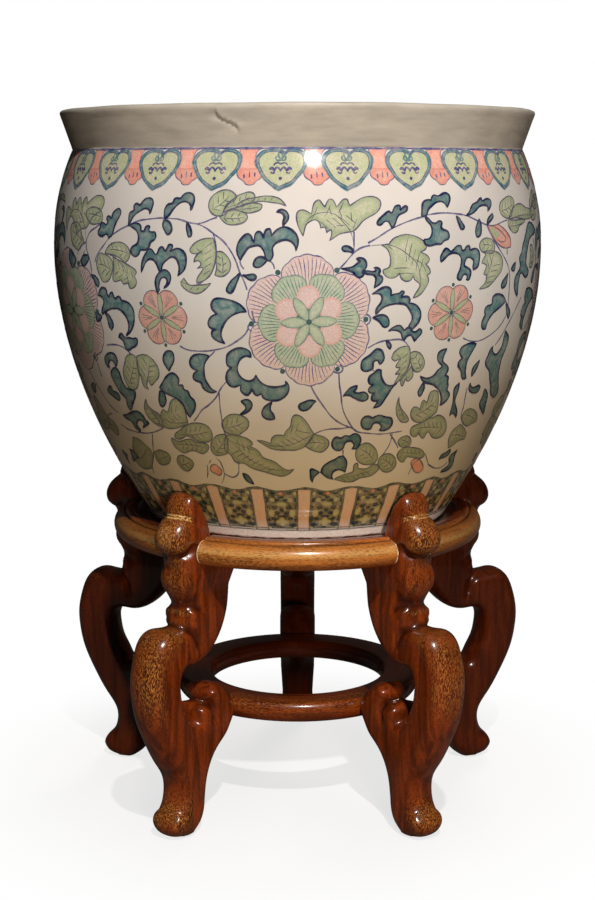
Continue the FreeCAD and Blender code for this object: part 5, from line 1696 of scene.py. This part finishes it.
class JARDINIERE_OT_glue_lines(bpy.types.Operator):
    """Leave the pale glue lines where the rails meet the legs."""

    bl_idname = "jardiniere.glue_lines"
    bl_label = "Glue lines"

    def execute(self, context):
        glue = hide_glue()
        section = round_nose(RAIL_LOW + 0.6, RAIL_HIGH + 0.4, NOSE_R + 0.1, NOSE_SWELL + 0.2, GLUE_STEPS)
        rng = np.random.default_rng(5)
        steps = np.arange(GLUE_STEPS)
        vertices, faces = [], []
        for k in range(5):
            for side in (-1, 1):
                width = 0.35 + 0.55 * np.interp(steps, steps[::3], rng.random(len(steps[::3])))
                base = len(vertices)
                for (r, z), wide in zip(section, width):
                    end = LEG_STEP / 2 - math.degrees(math.asin(HALF_BOARD / r))
                    for reach, lift in ((-0.5, 0), (wide * 0.5, 0.28), (wide, 0)):
                        a = math.radians(FIRST_RAIL + LEG_STEP * k + side * (end - math.degrees(reach / r)))
                        rr = r + lift
                        vertices.append((rr * math.cos(a), rr * math.sin(a), z + lift * (z - 261) / 11))
                for i in steps[:-1]:
                    for a in (base + 3 * i, base + 3 * i + 1):
                        faces.append((a, a + 1, a + 4, a + 3))
        make_piece("glue_lines", np.array(vertices) * MM, faces, [glue], "stand")
        return {"FINISHED"}


def pale_dowel():
    """Turned dowel, unfinished: pale straight grain, dry."""
    material, tree, place = new_material("turned_beech_dowel")
    grain = add_node(tree, "ShaderNodeTexNoise", {"Vector": place, "Scale": 260.0, "Detail": 4.0})
    tone = add_node(tree, "ShaderNodeValToRGB", {"Fac": grain}, stops=[
        (0.35, linear("#A87C50")), (0.7, linear("#D0A878"))])
    shader = add_node(tree, "ShaderNodeBsdfPrincipled", {
        "Base Color": tone, "Roughness": 0.7, "IOR": 1.5})
    add_node(tree, "ShaderNodeOutputMaterial", {"Surface": shader})
    return material


def zinc_screw():
    """Drawn steel screw with a dull zinc coat: grey, fine turning marks."""
    material, tree, place = new_material("zinc_plated_steel")
    marks = add_node(tree, "ShaderNodeTexNoise", {"Vector": place, "Scale": 700.0, "Detail": 2.0})
    tone = add_node(tree, "ShaderNodeValToRGB", {"Fac": marks}, stops=[
        (0.3, linear("#6E6C68")), (0.7, linear("#A8A49C"))])
    rough = add_node(tree, "ShaderNodeMapRange", {"Value": marks, "To Min": 0.3, "To Max": 0.5})
    shader = add_node(tree, "ShaderNodeBsdfPrincipled", {
        "Base Color": tone, "Roughness": rough, "Metallic": 1.0})
    add_node(tree, "ShaderNodeOutputMaterial", {"Surface": shader})
    return material


class JARDINIERE_OT_panel_and_joinery(bpy.types.Operator):
    """Finish the top panel, dowels and screws, whose solids stay."""

    bl_idname = "jardiniere.panel_and_joinery"
    bl_label = "Panel and joinery"

    def execute(self, context):
        settings = context.scene.jardiniere_stand
        finishes = {
            "top_panel": lacquered_wood("stained_lacquered_panel", settings, along_grain=False),
            "rail_dowels": pale_dowel(),
            "hook_screws": zinc_screw(),
        }
        finishes["stretcher_dowels"] = finishes["rail_dowels"]
        for node, material in finishes.items():
            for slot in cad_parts[node].material_slots:
                slot.material = material
        return {"FINISHED"}


# ------------------------------------------------------------------ stage
def seen_directly(tree):
    """One for rays that come straight, or through glass, from the camera."""
    path = add_node(tree, "ShaderNodeLightPath")
    return add_node(tree, "ShaderNodeMath", {
        0: path.outputs["Is Camera Ray"], 1: path.outputs["Is Transmission Ray"]}, operation="MAXIMUM")


def floor_white():
    """Matt white card: takes a soft shadow near the object and is plain white beyond."""
    material, tree, place = new_material("matt_white_card")
    size = add_node(tree, "ShaderNodeVectorMath", {0: place}, operation="LENGTH")
    far = add_node(tree, "ShaderNodeMapRange", {
        "Value": size, "From Min": 0.12, "From Max": 0.40, "To Min": 0.72, "To Max": 1.0},
        interpolation_type="SMOOTHSTEP")
    glow = add_node(tree, "ShaderNodeEmission", {"Color": linear("#FFFFFF"), "Strength": 1.0})
    direct = seen_directly(tree)
    # A dark studio floor would throw little light up, so the card is pale only to the camera.
    colour = add_node(tree, "ShaderNodeMix", {
        "Factor": direct, "A": linear("#5A5550"), "B": linear("#F7F6F4")}, **BLEND)
    card = add_node(tree, "ShaderNodeBsdfDiffuse", {"Color": colour})
    share = add_node(tree, "ShaderNodeMath", {0: direct, 1: far}, operation="MULTIPLY")
    mix = add_node(tree, "ShaderNodeMixShader", {0: share, 1: card, 2: glow})
    add_node(tree, "ShaderNodeOutputMaterial", {"Surface": mix})
    return material


def area_lamp(name, place, aim, size, power, colour, reflected=True):
    """A soft round lamp that looks at a point; places in metres."""
    data = bpy.data.lights.new(name, "AREA")
    data.shape, data.size, data.energy, data.color = "DISK", size, power, linear(colour)[:3]
    lamp = bpy.data.objects.new(name, data)
    lamp.location = place
    lamp.rotation_euler = (Vector(aim) - Vector(place)).to_track_quat("-Z", "Y").to_euler()
    bpy.context.scene.collection.objects.link(lamp)
    lamp.visible_glossy = reflected
    return lamp


class JARDINIERE_OT_stage(bpy.types.Operator):
    """Set the camera, the lamps, the floor and the white surroundings."""

    bl_idname = "jardiniere.stage"
    bl_label = "Stage"

    def execute(self, context):
        scene = context.scene
        settings = scene.jardiniere_stage
        data = bpy.data.cameras.new("photo_camera")
        data.sensor_width, data.lens = 36.0, settings.lens
        data.clip_start, data.clip_end = 0.05, 50
        camera = bpy.data.objects.new("photo_camera", data)
        camera.location = (0, -settings.camera_distance, settings.camera_height)
        camera.rotation_euler = (math.pi / 2 - settings.camera_pitch, 0, 0)
        scene.collection.objects.link(camera)
        scene.camera = camera
        area_lamp("key_lamp", (0.20, -1.42, 1.78), (0, 0, 0.42), 0.05, settings.key_power, "#FFFCF8")
        area_lamp("low_front_lamp", (0.42, -2.25, 0.45), (0, 0, 0.28), 0.30, settings.fill_power,
                  "#FFF2E6", reflected=False)
        area_lamp("rear_lamp", (0.7, 2.1, 1.3), (0, 0, 0.35), 0.9, settings.rear_power, "#FFF8F0",
                  reflected=False)
        turn = np.linspace(0, 2 * math.pi, 64, endpoint=False)
        rings = np.array([0.05, 0.3, 0.6, 1.2, 4.0, 12.0])
        points = np.stack([np.outer(rings, np.cos(turn)), np.outer(rings, np.sin(turn)),
                           np.zeros((len(rings), 64))], -1).reshape(-1, 3)
        mesh = bpy.data.meshes.new("floor")
        faces = grid_faces(len(rings), 64).tolist() + [list(range(64))]
        mesh.from_pydata(points.tolist(), [], faces)
        mesh.materials.append(floor_white())
        floor = bpy.data.objects.new("floor", mesh)
        floor.location = (0, 0, -0.0002)
        scene.collection.objects.link(floor)
        world = bpy.data.worlds.new("studio_surroundings")
        world.use_nodes = True
        scene.world = world
        tree = world.node_tree
        tree.nodes.clear()
        room = add_node(tree, "ShaderNodeBackground", {"Color": linear("#FFF6EC"), "Strength": 0.025})
        white = add_node(tree, "ShaderNodeBackground", {"Color": linear("#FFFFFF"), "Strength": 1.0})
        mix = add_node(tree, "ShaderNodeMixShader", {
            0: seen_directly(tree), 1: room, 2: white})
        add_node(tree, "ShaderNodeOutputWorld", {"Surface": mix})
        scene.view_settings.view_transform = "Standard"
        return {"FINISHED"}


class JARDINIERE_PT_sidebar(bpy.types.Panel):
    """Lists the pieces in the order they are made."""

    bl_label = "Jardiniere on stand"
    bl_idname = "JARDINIERE_PT_sidebar"
    bl_space_type = "VIEW_3D"
    bl_region_type = "UI"
    bl_category = "Jardiniere"

    def draw(self, context):
        for group in SETTINGS:
            box = self.layout.box()
            for key in GROUP_TYPES[group].__annotations__:
                box.prop(getattr(context.scene, group), key)
        for operator in OPERATORS:
            self.layout.operator(operator.bl_idname)


GROUP_TYPES = {
    "jardiniere_bowl": JardiniereBowlSettings,
    "jardiniere_paint": JardinierePaintSettings,
    "jardiniere_stand": JardiniereStandSettings,
    "jardiniere_stage": JardiniereStageSettings,
}
SETTINGS = list(GROUP_TYPES)
OPERATORS = (
    JARDINIERE_OT_stage, JARDINIERE_OT_bowl, JARDINIERE_OT_collar_border, JARDINIERE_OT_foot_border,
    JARDINIERE_OT_lotus, JARDINIERE_OT_small_flowers, JARDINIERE_OT_scroll_leaves, JARDINIERE_OT_pale_leaves,
    JARDINIERE_OT_legs, JARDINIERE_OT_apron, JARDINIERE_OT_stretcher, JARDINIERE_OT_glue_lines,
    JARDINIERE_OT_panel_and_joinery,
)


def register():
    for kind in list(GROUP_TYPES.values()) + list(OPERATORS) + [JARDINIERE_PT_sidebar]:
        bpy.utils.register_class(kind)
    for group, kind in GROUP_TYPES.items():
        setattr(bpy.types.Scene, group, PointerProperty(type=kind))


def unregister():
    for group in SETTINGS:
        delattr(bpy.types.Scene, group)
    for kind in [JARDINIERE_PT_sidebar] + list(OPERATORS) + list(GROUP_TYPES.values()):
        bpy.utils.unregister_class(kind)


def main():
    """Builds every piece in order."""
    register()
    for operator in OPERATORS:
        group, call = operator.bl_idname.split(".")
        getattr(getattr(bpy.ops, group), call)()
    bpy.context.view_layer.update()


if __name__ == "__main__":
    main()
